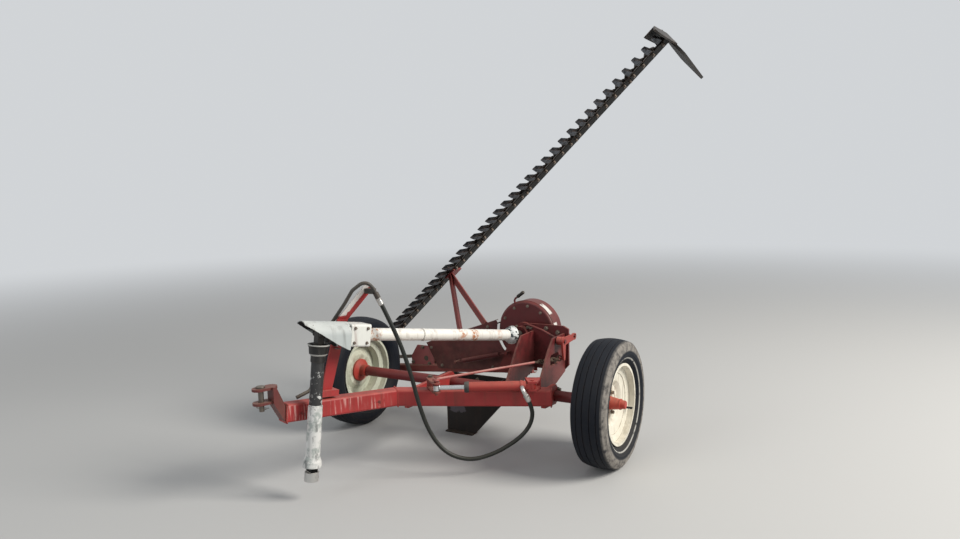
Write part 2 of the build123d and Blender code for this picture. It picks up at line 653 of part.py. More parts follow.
with BuildPart() as pto_half_guard:
    # Outer and inner guard tubes, worn white paint over dark metal, with the lower bell
    neck_run = 0.34 * hang_length
    bell_start = hang_length - BELL_LENGTH
    with BuildSketch(hang_plane.offset(TUBE_START + SEAT)):
        Circle(HALF_TUBE_RADIUS)
        Circle(JOINT_BOSS_RADIUS + SEAT, mode=Mode.SUBTRACT)
    extrude(amount=neck_run)
    with BuildSketch(hang_plane.offset(TUBE_START + SEAT + neck_run)):
        Circle(HALF_TUBE_RADIUS + 4)
        Circle(JOINT_BOSS_RADIUS + SEAT, mode=Mode.SUBTRACT)
    extrude(amount=bell_start - TUBE_START - SEAT - neck_run)
    with BuildSketch(Plane(origin=joint_pivot, x_dir=hang_plane.z_dir, z_dir=hang_plane.x_dir)):
        with BuildLine():
            Polyline(
                (bell_start, JOINT_BOSS_RADIUS + SEAT), (bell_start, HALF_TUBE_RADIUS + 4), (bell_start + 24, 44),
                (bell_start + 50, 46), (bell_start + 50, 43), (bell_start + 24, 40),
                (bell_start + 16, JOINT_BOSS_RADIUS + SEAT), close=True,
            )
        make_face()
    revolve(axis=Axis(joint_pivot, hang_plane.z_dir))
pto_half_guard.part.label = "pto_half_guard"
export_step(pto_half_guard.part, "parts/pto_half_guard.step")

with BuildPart() as pto_end_yoke:
    # Shaft end, joint and splined yoke for the tractor's stub
    with BuildSketch(hang_plane.offset(TUBE_START + SEAT)):
        Circle(JOINT_BOSS_RADIUS)
    extrude(amount=hang_length - TUBE_START - SEAT - END_JOINT)
    with BuildSketch(hang_plane.offset(hang_length - END_JOINT)):
        RectangleRounded(60, 34, 6)
    extrude(amount=END_JOINT - END_YOKE_LENGTH)
    with BuildSketch(hang_plane.offset(hang_length - END_YOKE_LENGTH)):
        Circle(YOKE_RADIUS)
    extrude(amount=END_YOKE_LENGTH)
    with BuildSketch(hang_plane.offset(hang_length)):
        Circle(YOKE_BORE)
    extrude(amount=-40, mode=Mode.SUBTRACT)
pto_end_yoke.part.label = "pto_end_yoke"
export_step(pto_end_yoke.part, "parts/pto_end_yoke.step")

# Upper belt drive: bearing tube, shaft with pulley, and the round cover, on a stand from the axle
drive_front = Plane(origin=(DRIVE_X, 0, DRIVE_Z), x_dir=(1, 0, 0), z_dir=(0, -1, 0))
with BuildPart() as drive_stand:
    with BuildSketch(drive_front.offset(STAND_FRONT)):
        with BuildLine():
            Polyline(
                (-302, -170), (-302, 45), (-268, 62), (0, 62), (62, 0), (62, -60), (-30, -STAND_DROP),
                (-270, -STAND_DROP), close=True,
            )
        make_face()
    extrude(amount=STAND_WALL)
    with BuildSketch(drive_front.offset(STAND_FRONT - 34)):
        Circle(BEARING_RADIUS + 10)
    extrude(amount=PULLEY_FRONT - 6 - STAND_FRONT + 34)
    # Arms forward to the axle
    for arm_x in STAND_ARMS:
        with BuildSketch(Plane.YZ.offset(arm_x)):
            with BuildLine():
                Polyline(
                    (-STAND_FRONT, DRIVE_Z - STAND_DROP), (-STAND_FRONT, DRIVE_Z + 20), (-160, DRIVE_Z + 20),
                    (-96, DRIVE_Z - 40), (AXLE_TUBE_RADIUS + 12, TYRE_RADIUS + 44),
                    (AXLE_TUBE_RADIUS + 12, TYRE_RADIUS), (0, TYRE_RADIUS - AXLE_TUBE_RADIUS - 12),
                    (-40, TYRE_RADIUS - AXLE_TUBE_RADIUS - 6), close=True,
                )
            make_face()
        extrude(amount=6, both=True)
    # The rocker's pin and a window for the lift chain
    rocker_foot = Vector(STAND_ARMS[0], ROCKER_AXIS.Y, ROCKER_AXIS.Z)
    with BuildSketch(Plane(origin=rocker_foot, x_dir=(0, 1, 0), z_dir=(-1, 0, 0))):
        Circle(ROCKER_PIN_RADIUS)
    extrude(amount=STAND_ARMS[0] - ROCKER_PLATE_X + 8)
    with BuildSketch(Plane(origin=(STAND_ARMS[0], *CHAIN_WINDOW_CENTRE), x_dir=(0, 1, 0), z_dir=(1, 0, 0))):
        RectangleRounded(*CHAIN_WINDOW)
    extrude(amount=20, both=True, mode=Mode.SUBTRACT)
    with BuildSketch(axle_plane):
        Circle(AXLE_TUBE_RADIUS + SEAT)
    extrude(amount=TRACK / 2, both=True, mode=Mode.SUBTRACT)
    with BuildSketch(drive_front):
        Circle(DRIVE_SHAFT_RADIUS + PIN_FIT)
    extrude(amount=FAR, mode=Mode.SUBTRACT)
drive_stand.part.label = "drive_stand"
export_step(drive_stand.part, "parts/drive_stand.step")

with BuildPart() as drive_pulley:
    # Shaft, the joint behind the ball shield and the pulley
    with BuildSketch(drive_front.offset(-DRIVE_JOINT.Y + 28)):
        Circle(DRIVE_SHAFT_RADIUS)
    extrude(amount=PULLEY_FRONT + PULLEY_WIDTH + DRIVE_JOINT.Y - 28)
    with BuildSketch(drive_front.offset(PULLEY_FRONT)):
        Circle(PULLEY_RADIUS)
        with PolarLocations(PULLEY_RADIUS * 0.58, 5):
            Circle(PULLEY_RADIUS * 0.2, mode=Mode.SUBTRACT)
    extrude(amount=PULLEY_WIDTH)
drive_pulley.part.label = "drive_pulley"
export_step(drive_pulley.part, "parts/drive_pulley.step")

with BuildPart() as drive_cover:
    with BuildSketch(drive_front.offset(COVER_FRONT)):
        Circle(COVER_RADIUS)
    extrude(amount=COVER_DEPTH)
    fillet(drive_cover.faces().sort_by(Axis.Y)[-1].edges(), radius=14)
    offset(amount=-COVER_WALL, openings=drive_cover.faces().sort_by(Axis.Y)[0])
    with BuildSketch(drive_front):
        Circle(BEARING_RADIUS + 10)
    extrude(amount=FAR, mode=Mode.SUBTRACT)
    # Way out for the belts, down to the right
    with BuildSketch(drive_front.offset(COVER_FRONT + 20)):
        with BuildLine():
            Polyline((-40, 0), (40, 66), (400, 66), (400, -400), (-150, -400), close=True)
        make_face()
    extrude(amount=COVER_DEPTH, mode=Mode.SUBTRACT)
drive_cover.part.label = "drive_cover"
export_step(drive_cover.part, "parts/drive_cover.step")

with BuildPart() as pto_rear_joint:
    # Yoke on the drive shaft, cross, and the long shaft inside the guard tube with its own yoke
    with BuildSketch(drive_front.offset(-DRIVE_JOINT.Y - 14)):
        Circle(24)
    extrude(amount=42 - SEAT)
    with BuildSketch(pto_plane.offset(pto_run - 14)):
        Circle(24)
    extrude(amount=BALL_REACH + 14)
    with BuildSketch(pto_plane.offset(0)):
        Circle(SHAFT_RADIUS)
    extrude(amount=pto_run)
pto_rear_joint.part.label = "pto_rear_joint"
export_step(pto_rear_joint.part, "parts/pto_rear_joint.step")

# Belts: each a loop around both pulleys, in the belts' frame whose x runs to the lower pulley
lower_reach = Vector(LOWER_PULLEY_X - DRIVE_X, 0, LOWER_PULLEY_Z - DRIVE_Z)
belt_run = lower_reach.length
belt_frame = Plane(origin=(DRIVE_X, -PULLEY_FRONT, DRIVE_Z), x_dir=lower_reach.normalized(), z_dir=(0, -1, 0))
with BuildPart() as belts:
    for row in range(3):
        with BuildSketch(belt_frame.offset(3 + row * BELT_PITCH)):
            Circle(PULLEY_RADIUS + BELT_GAP + BELT_WALL)
            with Locations((belt_run, 0)):
                Circle(LOWER_PULLEY_RADIUS + BELT_GAP + BELT_WALL)
            make_hull()
            offset(amount=-BELT_WALL, mode=Mode.SUBTRACT)
        extrude(amount=BELT_WIDTH)
belts.part.label = "belts"
export_step(belts.part, "parts/belts.step")

# Lower pulley with its counterweighted crank, and the shaft that the carrier bears
with BuildPart() as lower_pulley:
    lower_front = Plane(origin=(LOWER_PULLEY_X, -PULLEY_FRONT, LOWER_PULLEY_Z), x_dir=(1, 0, 0), z_dir=(0, -1, 0))
    with BuildSketch(lower_front):
        Circle(LOWER_PULLEY_RADIUS)
    extrude(amount=PULLEY_WIDTH)
    with BuildSketch(lower_front.offset(-LOWER_SHAFT_REACH)):
        Circle(DRIVE_SHAFT_RADIUS)
    extrude(amount=LOWER_SHAFT_REACH + PULLEY_WIDTH + 10 + CRANK_WALL)
    with BuildSketch(lower_front.offset(PULLEY_WIDTH + 10)):
        Circle(54)
        with Locations((28, 0)):
            RectangleRounded(60, 90, 12)
    extrude(amount=CRANK_WALL)
    with BuildSketch(lower_front.offset(PULLEY_WIDTH + 10 + CRANK_WALL)):
        with Locations((-CRANK_THROW, 0)):
            Circle(CRANK_PIN_RADIUS)
    extrude(amount=24)
lower_pulley.part.label = "lower_pulley"
export_step(lower_pulley.part, "parts/lower_pulley.step")

# Carrier: collar and plate about the drive's axis, arm tube and yoke out to the fold pin
carrier_front = Plane(origin=(DRIVE_X, -CARRIER_FRONT, DRIVE_Z), x_dir=(1, 0, 0), z_dir=(0, -1, 0))
with BuildPart() as carrier_arm:
    arm_plane = along(ARM_LEFT, ARM_RIGHT)
    with BuildSketch(arm_plane):
        tube_section(ARM_SIZE, ARM_SIZE, ARM_WALL)
    extrude(amount=length_of(ARM_LEFT, ARM_RIGHT))
    # Plate from the collar down to the arm's front face, with the lift lug on its left
    with BuildSketch(carrier_front):
        with BuildLine():
            Polyline(
                (-30, -262), (-52, -30), (24 - LUG_REACH, -18), (24 - LUG_REACH, 20), (-40, 58), (58, 40),
                (190, -268), close=True,
            )
        make_face()
        Circle(COLLAR_RADIUS)
        with Locations((12 - LUG_REACH, 0)):
            Circle(20)
        Circle(BEARING_RADIUS + 10 + PIN_FIT, mode=Mode.SUBTRACT)
    extrude(amount=CARRIER_WALL)
    lug_centre = Vector(DRIVE_X + 12 - LUG_REACH, -CARRIER_FRONT - CARRIER_WALL / 2, DRIVE_Z)
    with BuildSketch(Plane(origin=lug_centre, z_dir=(-1, 0, 0))):
        Circle(LUG_PIN_RADIUS)
    extrude(amount=58)
    # Web between the plate and the arm
    with BuildSketch(arm_plane):
        Rectangle(2 * ARM_SIZE, ARM_SIZE - 12)
    extrude(amount=150)
    with BuildSketch(arm_plane):
        Rectangle(ARM_SIZE - 2, ARM_SIZE - 2)
    extrude(amount=240, mode=Mode.SUBTRACT)
    with BuildSketch(Plane.XZ.offset(CARRIER_FRONT)):
        Rectangle(4 * FAR, 4 * FAR)
    extrude(amount=-400, mode=Mode.SUBTRACT)
    with BuildSketch(Plane.XZ.offset(CARRIER_FRONT + CARRIER_WALL + 70)):
        Rectangle(4 * FAR, 4 * FAR)
    extrude(amount=400, mode=Mode.SUBTRACT)
    # Stud for the float spring's left end
    with BuildSketch(Plane.XZ.offset(CARRIER_FRONT)):
        with Locations((SPRING_LEFT.X, SPRING_LEFT.Z)):
            Circle(SPRING_STUD_RADIUS)
    extrude(amount=-(CARRIER_FRONT + SPRING_LEFT.Y + 12))
carrier_arm.part.label = "carrier_arm"
export_step(carrier_arm.part, "parts/carrier_arm.step")

# Sheet guard over the front of the belts, flanged back above and below
with BuildPart() as sheet_guard:
    sheet_front = Plane(origin=(0, -SHEET_FRONT, 0), x_dir=(1, 0, 0), z_dir=(0, -1, 0))
    with BuildSketch(sheet_front):
        with BuildLine():
            Polyline((-40, 352), (470, 306), FLANGE_RIGHT, FLANGE_LEFT, (30, 660), (-50, 500), close=True)
        make_face()
        with Locations((DRIVE_X, DRIVE_Z)):
            Circle(COVER_RADIUS + 8, mode=Mode.SUBTRACT)
    extrude(amount=SHEET_WALL)
    with BuildSketch(sheet_front):
        with BuildLine():
            Polyline(
                FLANGE_LEFT, FLANGE_RIGHT, (FLANGE_RIGHT[0], FLANGE_RIGHT[1] - SHEET_WALL),
                (FLANGE_LEFT[0], FLANGE_LEFT[1] - SHEET_WALL), close=True,
            )
        make_face()
    extrude(amount=SHEET_DEPTH)
    # Spacers to the arm's front
    with BuildSketch(sheet_front.offset(SHEET_WALL)):
        with Locations((180, 343), (400, 322)):
            Rectangle(30, 20)
    extrude(amount=-ARM_LEFT.Y - ARM_SIZE / 2 - SHEET_FRONT - SHEET_WALL - SEAT)
    # Stud for the float spring's right end
    with BuildSketch(sheet_front):
        with Locations((SPRING_RIGHT.X, SPRING_RIGHT.Z)):
            Circle(SPRING_STUD_RADIUS)
    extrude(amount=-(SHEET_FRONT + SPRING_RIGHT.Y + 12))
sheet_guard.part.label = "sheet_guard"
export_step(sheet_guard.part, "parts/sheet_guard.step")

# Plate in front of the lower pulley, bolted to the arm, that bears the lower shaft
with BuildPart() as pulley_bearing:
    with BuildSketch(lower_front.offset(-LOWER_SHAFT_REACH)):
        with BuildLine():
            Polyline((-58, -50), (-58, 60), (-20, 84), (70, 84), (118, 10), (118, -60), close=True)
        make_face()
        Circle(DRIVE_SHAFT_RADIUS + PIN_FIT, mode=Mode.SUBTRACT)
    extrude(amount=10)
    with BuildSketch(lower_front.offset(10 - LOWER_SHAFT_REACH)):
        Circle(BEARING_RADIUS)
        Circle(DRIVE_SHAFT_RADIUS + PIN_FIT, mode=Mode.SUBTRACT)
    extrude(amount=28)
    with BuildSketch(arm_plane):
        Rectangle(ARM_SIZE + 2 * SEAT, ARM_SIZE + 2 * SEAT)
    extrude(amount=length_of(ARM_LEFT, ARM_RIGHT), mode=Mode.SUBTRACT)
pulley_bearing.part.label = "pulley_bearing"
export_step(pulley_bearing.part, "parts/pulley_bearing.step")

# Yoke: a cross piece on the arm's end with two ears that hold the fold pins
with BuildPart() as fold_yoke:
    with BuildSketch(Plane.XZ.offset(YOKE_FRONT)):
        with BuildLine():
            Polyline(
                (YOKE_X - YOKE_HALF, YOKE_BOTTOM), (YOKE_X - YOKE_HALF, 258), (YOKE_X + YOKE_HALF, 240),
                (YOKE_X + YOKE_HALF, YOKE_BOTTOM), close=True,
            )
        make_face()
    extrude(amount=YOKE_BACK - YOKE_FRONT)
    for ear_front in YOKE_EARS:
        with BuildSketch(Plane.XZ.offset(ear_front)):
            with BuildLine():
                Polyline(
                    (YOKE_X - 10, YOKE_BOTTOM), (YOKE_X - 10, 250), (FOLD_X - 8, FOLD_Z + 24),
                    (FOLD_X + 20, FOLD_Z), (FOLD_X + 6, FOLD_Z - 26), (YOKE_X + YOKE_HALF, YOKE_BOTTOM), close=True,
                )
            make_face()
            with Locations((FOLD_X, FOLD_Z)):
                Circle(FOLD_PIN_RADIUS + 14)
                Circle(FOLD_PIN_RADIUS + PIN_FIT, mode=Mode.SUBTRACT)
        extrude(amount=EAR_THICK)
    with BuildSketch(arm_plane):
        Rectangle(ARM_SIZE + 2 * SEAT, ARM_SIZE + 2 * SEAT)
    extrude(amount=length_of(ARM_LEFT, ARM_RIGHT) + SEAT, mode=Mode.SUBTRACT)
fold_yoke.part.label = "fold_yoke"
export_step(fold_yoke.part, "parts/fold_yoke.step")

# Cutter bar, in the frame of its own line: x outwards from the fold pin, y forwards, z up as it mows
fold_rise = radians(FOLD_ANGLE)
bar_way = Vector(cos(fold_rise), 0, sin(fold_rise))
bar_frame = Plane(origin=(FOLD_X, 0, FOLD_Z), x_dir=bar_way, z_dir=(-bar_way.Z, 0, bar_way.X))
bar_length = FIRST_GUARD + GUARD_PITCH * (GUARD_COUNT - 0.5)
bar_top = KNIFE_Z + 10
bar_bottom = bar_top - BAR_WALL
bar_side = Plane(origin=bar_frame.origin, x_dir=bar_frame.x_dir, z_dir=(0, -1, 0))

with BuildPart() as bar_back:
    with BuildSketch(bar_frame.offset(bar_bottom)):
        with Locations(((SHOE_START + bar_length) / 2, (BAR_FRONT + BAR_BACK) / 2)):
            Rectangle(bar_length - SHOE_START, BAR_WIDTH)
    extrude(amount=BAR_WALL)
bar_back.part.label = "bar_back"
export_step(bar_back.part, "parts/bar_back.step")

# One guard: a flange under the bar and a pointed prong with the knife's slot
with BuildPart() as guard_form:
    with BuildSketch():
        with BuildLine():
            Polyline(
                (-25, -44), (-25, -2), (-17, 8), (-14, 92), (-4, PRONG_REACH), (4, PRONG_REACH), (14, 92),
                (17, 8), (25, -2), (25, -44), close=True,
            )
        make_face()
    extrude(amount=60, both=True)
    with BuildSketch(Plane.YZ):
        with BuildLine():
            Polyline(
                (-44, bar_bottom), (26, bar_bottom), (26, KNIFE_Z - 1), (94, KNIFE_Z - 1), (94, KNIFE_Z + 4.5),
                (28, KNIFE_Z + 4.5), (30, KNIFE_Z + 11), (100, KNIFE_Z + 9), (PRONG_REACH, KNIFE_Z + 1),
                (PRONG_REACH, KNIFE_Z - 5), (96, KNIFE_Z - 18), (0, bar_bottom - 14), (-44, bar_bottom - 10),
                close=True,
            )
        make_face()
    extrude(amount=60, both=True, mode=Mode.INTERSECT)

guard_places = [(FIRST_GUARD + GUARD_PITCH * place, BAR_FRONT, 0) for place in range(GUARD_COUNT)]
with BuildPart(bar_frame) as guards:
    with Locations(*guard_places):
        add(guard_form.part)
guards.part.label = "guards"
export_step(guards.part, "parts/guards.step")

# Knife: a flat back with a triangular section for each guard
knife_bottom = KNIFE_Z - 1 + KNIFE_REST_GAP
knife_end = bar_length - KNIFE_END_GAP
with BuildSketch() as knife_section:
    with BuildLine():
        Polyline(
            (-GUARD_PITCH / 2, RUN_GAP), (GUARD_PITCH / 2, RUN_GAP), (GUARD_PITCH / 2, 30), (8, 86), (-8, 86),
            (-GUARD_PITCH / 2, 30), close=True,
        )
    make_face()
with BuildPart() as knife:
    with BuildSketch(bar_frame.offset(knife_bottom + KNIFE_WALL)):
        with Locations(((KNIFE_START + knife_end) / 2, BAR_FRONT + RUN_GAP + KNIFE_BACK_WIDTH / 2)):
            Rectangle(knife_end - KNIFE_START, KNIFE_BACK_WIDTH)
    extrude(amount=KNIFE_BACK_WALL)
    with BuildSketch(bar_frame.offset(knife_bottom)):
        with Locations(*[(FIRST_GUARD + GUARD_PITCH * place, BAR_FRONT) for place in range(GUARD_COUNT - 1)]):
            add(knife_section.sketch)
    extrude(amount=KNIFE_WALL)
    # Head that the pitman's eye stands beside
    knife_top = knife_bottom + KNIFE_WALL
    with BuildSketch(bar_side.offset(-BAR_FRONT - RUN_GAP - KNIFE_BACK_WIDTH)):
        Circle(16)
        with BuildLine():
            Polyline((-2, 14), (70, knife_top + KNIFE_BACK_WALL), (70, knife_top), (-2, -15), close=True)
        make_face()
    extrude(amount=KNIFE_BACK_WIDTH)
knife.part.label = "knife"
export_step(knife.part, "parts/knife.step")

# Clips that hold the knife down on the guards
clip_count = GUARD_COUNT // CLIP_EVERY
clip_places = [FIRST_GUARD + GUARD_PITCH * (CLIP_EVERY * place + 1.5) for place in range(clip_count)]
with BuildPart() as knife_clips:
    clip_top = knife_top + KNIFE_BACK_WALL + 2 * SEAT
    for clip_x in clip_places:
        clip_origin = bar_frame.from_local_coords((clip_x, 0, 0))
        clip_plane = Plane(origin=clip_origin, x_dir=(0, 1, 0), z_dir=bar_frame.x_dir)
        with BuildSketch(clip_plane):
            with BuildLine():
                Polyline(
                    (BAR_FRONT - 40, bar_top), (BAR_FRONT - 40, bar_top + 7), (BAR_FRONT - 2, bar_top + 7),
                    (BAR_FRONT + 6, clip_top + 7), (BAR_FRONT + 26, clip_top + 5), (BAR_FRONT + 26, clip_top),
                    (BAR_FRONT + 3, clip_top), (BAR_FRONT - 1, bar_top + 3), (BAR_FRONT - 1, bar_top), close=True,
                )
            make_face()
        extrude(amount=15, both=True)
knife_clips.part.label = "knife_clips"
export_step(knife_clips.part, "parts/knife_clips.step")

# Inner shoe: a sole under the bar's inner end, its runner turned up in front, with ears on the fold pins
sole_top = SOLE_BOTTOM + SOLE_WALL
with BuildPart() as inner_shoe:
    shoe_origin = bar_frame.from_local_coords((SHOE_START, 0, 0))
    with BuildSketch(Plane(origin=shoe_origin, x_dir=(0, 1, 0), z_dir=bar_frame.x_dir)):
        with BuildLine():
            Polyline(
                (BAR_BACK - 10, SOLE_BOTTOM), (BAR_BACK - 10, sole_top), (BAR_FRONT + 60, sole_top),
                (TIP_Y - 6, SOLE_BOTTOM + 52), (TIP_Y + 6, SOLE_BOTTOM + 46), (BAR_FRONT + 72, SOLE_BOTTOM),
                close=True,
            )
        make_face()
    extrude(amount=SHOE_LENGTH)
    # Post of the shoe between sole and bar
    with BuildSketch(bar_frame.offset(sole_top)):
        with Locations(((SHOE_START + SHOE_LENGTH / 2), (BAR_FRONT + BAR_BACK) / 2)):
            Rectangle(SHOE_LENGTH, BAR_WIDTH)
    extrude(amount=bar_bottom - sole_top)
    for ear_front in SHOE_EARS:
        with BuildSketch(bar_side.offset(ear_front)):
            with BuildLine():
                Polyline(
                    (-10, 24), (SHOE_START + 60, bar_top + 22), (SHOE_START + 60, bar_top),
                    (SHOE_START + 1, bar_bottom), (SHOE_START + 1, sole_top), (0, -28), close=True,
                )
            make_face()
            Circle(FOLD_PIN_RADIUS + 14)
            Circle(FOLD_PIN_RADIUS + PIN_FIT, mode=Mode.SUBTRACT)
        extrude(amount=EAR_THICK)
    add(bar_back.part, mode=Mode.SUBTRACT)
inner_shoe.part.label = "inner_shoe"
export_step(inner_shoe.part, "parts/inner_shoe.step")

with BuildPart() as fold_pins:
    # One pin through each pair of ears, headed in front, so that the middle stays open for the pitman
    for yoke_ear, shoe_ear in zip(YOKE_EARS, SHOE_EARS):
        first = min(yoke_ear, shoe_ear)
        with BuildSketch(Plane(origin=(FOLD_X, -first, FOLD_Z), x_dir=(1, 0, 0), z_dir=(0, -1, 0))):
            Circle(FOLD_PIN_RADIUS)
        extrude(amount=2 * EAR_THICK + EAR_SIDE_GAP + 8)
        with BuildSketch(Plane(origin=(FOLD_X, -first, FOLD_Z), x_dir=(1, 0, 0), z_dir=(0, 1, 0))):
            Circle(FOLD_PIN_RADIUS + 7)
        extrude(amount=8)
fold_pins.part.label = "fold_pins"
export_step(fold_pins.part, "parts/fold_pins.step")

# Outer shoe and the swath board behind it
outer_back = BAR_BACK - 40
with BuildPart() as outer_shoe:
    outer_origin = bar_frame.from_local_coords((bar_length, 0, 0))
    outer_end = Plane(origin=outer_origin, x_dir=(0, 1, 0), z_dir=bar_frame.x_dir)
    with BuildSketch(outer_end):
        with BuildLine():
            Polyline(
                (outer_back, SOLE_BOTTOM), (outer_back, bar_top + 30), (BAR_FRONT, bar_top + 30),
                (TIP_Y + 20, KNIFE_Z + 20), (TIP_Y + 60, KNIFE_Z - 4), (TIP_Y - 30, SOLE_BOTTOM), close=True,
            )
        make_face()
    extrude(amount=10)
    with BuildSketch(outer_end.offset(-70)):
        with BuildLine():
            Polyline(
                (outer_back, SOLE_BOTTOM), (outer_back, SOLE_BOTTOM + 8), (TIP_Y - 34, SOLE_BOTTOM + 8),
                (TIP_Y - 30, SOLE_BOTTOM), close=True,
            )
        make_face()
    extrude(amount=70)
outer_shoe.part.label = "outer_shoe"
export_step(outer_shoe.part, "parts/outer_shoe.step")

with BuildPart() as swath_board:
    toe = radians(BOARD_TOE)
    board_line = bar_frame.y_dir * -cos(toe) + bar_frame.x_dir * sin(toe)
    board_front = outer_back - SEAT - BOARD_WALL / 2 * abs(sin(toe))
    board_root = bar_frame.from_local_coords((bar_length - 4, board_front, bar_top - 4))
    with BuildSketch(Plane(origin=board_root, x_dir=board_line, z_dir=board_line.cross(bar_frame.z_dir))):
        with Locations((BOARD_LENGTH / 2, 0)):
            RectangleRounded(BOARD_LENGTH, BOARD_HEIGHT, 30)
    extrude(amount=BOARD_WALL / 2, both=True)
swath_board.part.label = "swath_board"
export_step(swath_board.part, "parts/swath_board.step")

# Pitman from the crank pin to the knife's head
knife_head = Vector(FOLD_X, -PITMAN_BACK, FOLD_Z)
crank_centre = Vector(LOWER_PULLEY_X - CRANK_THROW, -PITMAN_BACK, LOWER_PULLEY_Z)
pitman_line = (knife_head - crank_centre).normalized()
with BuildPart() as pitman:
    pitman_side = Plane(origin=crank_centre, x_dir=pitman_line, z_dir=(0, -1, 0))
    pitman_length = (knife_head - crank_centre).length
    with BuildSketch(pitman_side):
        Circle(CRANK_PIN_RADIUS + 10)
        with Locations((pitman_length / 2, 0)):
            Rectangle(pitman_length, 22)
        with Locations((pitman_length, 0)):
            Circle(20)
        Circle(CRANK_PIN_RADIUS + PIN_FIT, mode=Mode.SUBTRACT)
    extrude(amount=7, both=True)
pitman.part.label = "pitman"
export_step(pitman.part, "parts/pitman.step")

# Angle-iron rest that the folded bar leans on, standing on the sheet guard's flange
rest_centre = bar_frame.from_local_coords((REST_X, (BAR_FRONT + BAR_BACK) / 2, bar_top + SEAT))
rest_seat = Plane(origin=rest_centre, x_dir=bar_frame.x_dir, z_dir=bar_frame.z_dir)
flange_way = Vector(FLANGE_RIGHT[0] - FLANGE_LEFT[0], 0, FLANGE_RIGHT[1] - FLANGE_LEFT[1])
flange_corner = Vector(FLANGE_LEFT[0], -SHEET_FRONT, FLANGE_LEFT[1] + SEAT)
flange_top = Plane(origin=flange_corner, x_dir=flange_way, z_dir=(-flange_way.Z, 0, flange_way.X))
with BuildPart() as bar_rest:
    for foot in REST_FEET:
        leg_run = rest_seat.origin - foot
        with BuildSketch(Plane(origin=foot, x_dir=(1, 0, 0), z_dir=leg_run.normalized())):
            with BuildLine():
                Polyline((0, 0), (36, 0), (36, 5), (5, 5), (5, 36), (0, 36), close=True)
            make_face()
        extrude(amount=leg_run.length + 20)
    with BuildSketch(rest_seat):
        Rectangle(90, 96)
    extrude(amount=10)
    with BuildSketch(rest_seat):
        Rectangle(600, 600)
    extrude(amount=-200, mode=Mode.SUBTRACT)
    with BuildSketch(flange_top):
        Rectangle(2 * FAR, 2 * FAR)
    extrude(amount=-200, mode=Mode.SUBTRACT)
bar_rest.part.label = "bar_rest"
export_step(bar_rest.part, "parts/bar_rest.step")

# Float spring between two lugs on the carrier
spring_end = SPRING_STUD_RADIUS + SEAT
with BuildPart() as float_spring:
    spring_plane = along(SPRING_LEFT, SPRING_RIGHT)
    spring_length = length_of(SPRING_LEFT, SPRING_RIGHT)
    with BuildSketch(spring_plane.offset(spring_end)):
        Circle(6)
    extrude(amount=spring_length - 2 * spring_end)
    with BuildSketch(spring_plane.offset(50)):
        Circle(SPRING_RADIUS)
    extrude(amount=spring_length - 110)
float_spring.part.label = "float_spring"
export_step(float_spring.part, "parts/float_spring.step")

# Lift cylinder: barrel on the beam's left, rod out to the lever
cylinder_plane = along(CYLINDER_BASE, ROD_EYE)
cylinder_side = Plane(origin=CYLINDER_BASE, x_dir=cylinder_plane.z_dir, z_dir=(0, 0, 1))
eye_run = length_of(CYLINDER_BASE, ROD_EYE)
with BuildPart() as cylinder_barrel:
    with BuildSketch(cylinder_side.offset(-15)):
        Circle(EYE_RADIUS)
        with Locations((20, 0)):
            Rectangle(40, 34)
        Circle(EYE_PIN_RADIUS + PIN_FIT, mode=Mode.SUBTRACT)
    extrude(amount=30)
    with BuildSketch(cylinder_plane.offset(BARREL_START)):
        Circle(BARREL_RADIUS)
    extrude(amount=BARREL_LENGTH)
    with BuildSketch(cylinder_plane.offset(BARREL_START + BARREL_LENGTH)):
        Circle(BARREL_RADIUS - 1)
    extrude(amount=18)
    with BuildSketch(cylinder_plane.offset(80)):
        Circle(ROD_RADIUS + PIN_FIT)
    extrude(amount=BARREL_LENGTH, mode=Mode.SUBTRACT)
cylinder_barrel.part.label = "cylinder_barrel"
export_step(cylinder_barrel.part, "parts/cylinder_barrel.step")

with BuildPart() as cylinder_rod:
    with BuildSketch(cylinder_plane.offset(200)):
        Circle(ROD_RADIUS)
    extrude(amount=eye_run - 200 - 14)
    rod_eye_plane = Plane(origin=ROD_EYE, x_dir=cylinder_plane.z_dir, z_dir=(0, 0, 1))
    with BuildSketch(rod_eye_plane.offset(-EYE_HALF)):
        Circle(EYE_RADIUS)
        Circle(EYE_PIN_RADIUS + 2, mode=Mode.SUBTRACT)
    extrude(amount=2 * EYE_HALF)
cylinder_rod.part.label = "cylinder_rod"
export_step(cylinder_rod.part, "parts/cylinder_rod.step")

with BuildPart() as cylinder_foot:
    # Lugs and pin on the beam for the barrel's eye
    foot_plane = Plane(origin=CYLINDER_BASE, x_dir=beam_plane.z_dir, z_dir=(0, 0, 1))
    for level in (-15 - 1 - 10, 16):
        with BuildSketch(foot_plane.offset(level)):
            with BuildLine():
                Polyline((-24, 20), (24, 20), (40, -60), (-40, -60), close=True)
            make_face()
        extrude(amount=10)
    with BuildSketch(foot_plane.offset(-33)):
        with Locations((0, -62)):
            Rectangle(84, 10)
    extrude(amount=60)
    with BuildSketch(foot_plane.offset(-30)):
        Circle(EYE_PIN_RADIUS)
    extrude(amount=62)
cylinder_foot.part.label = "cylinder_foot"
export_step(cylinder_foot.part, "parts/cylinder_foot.step")

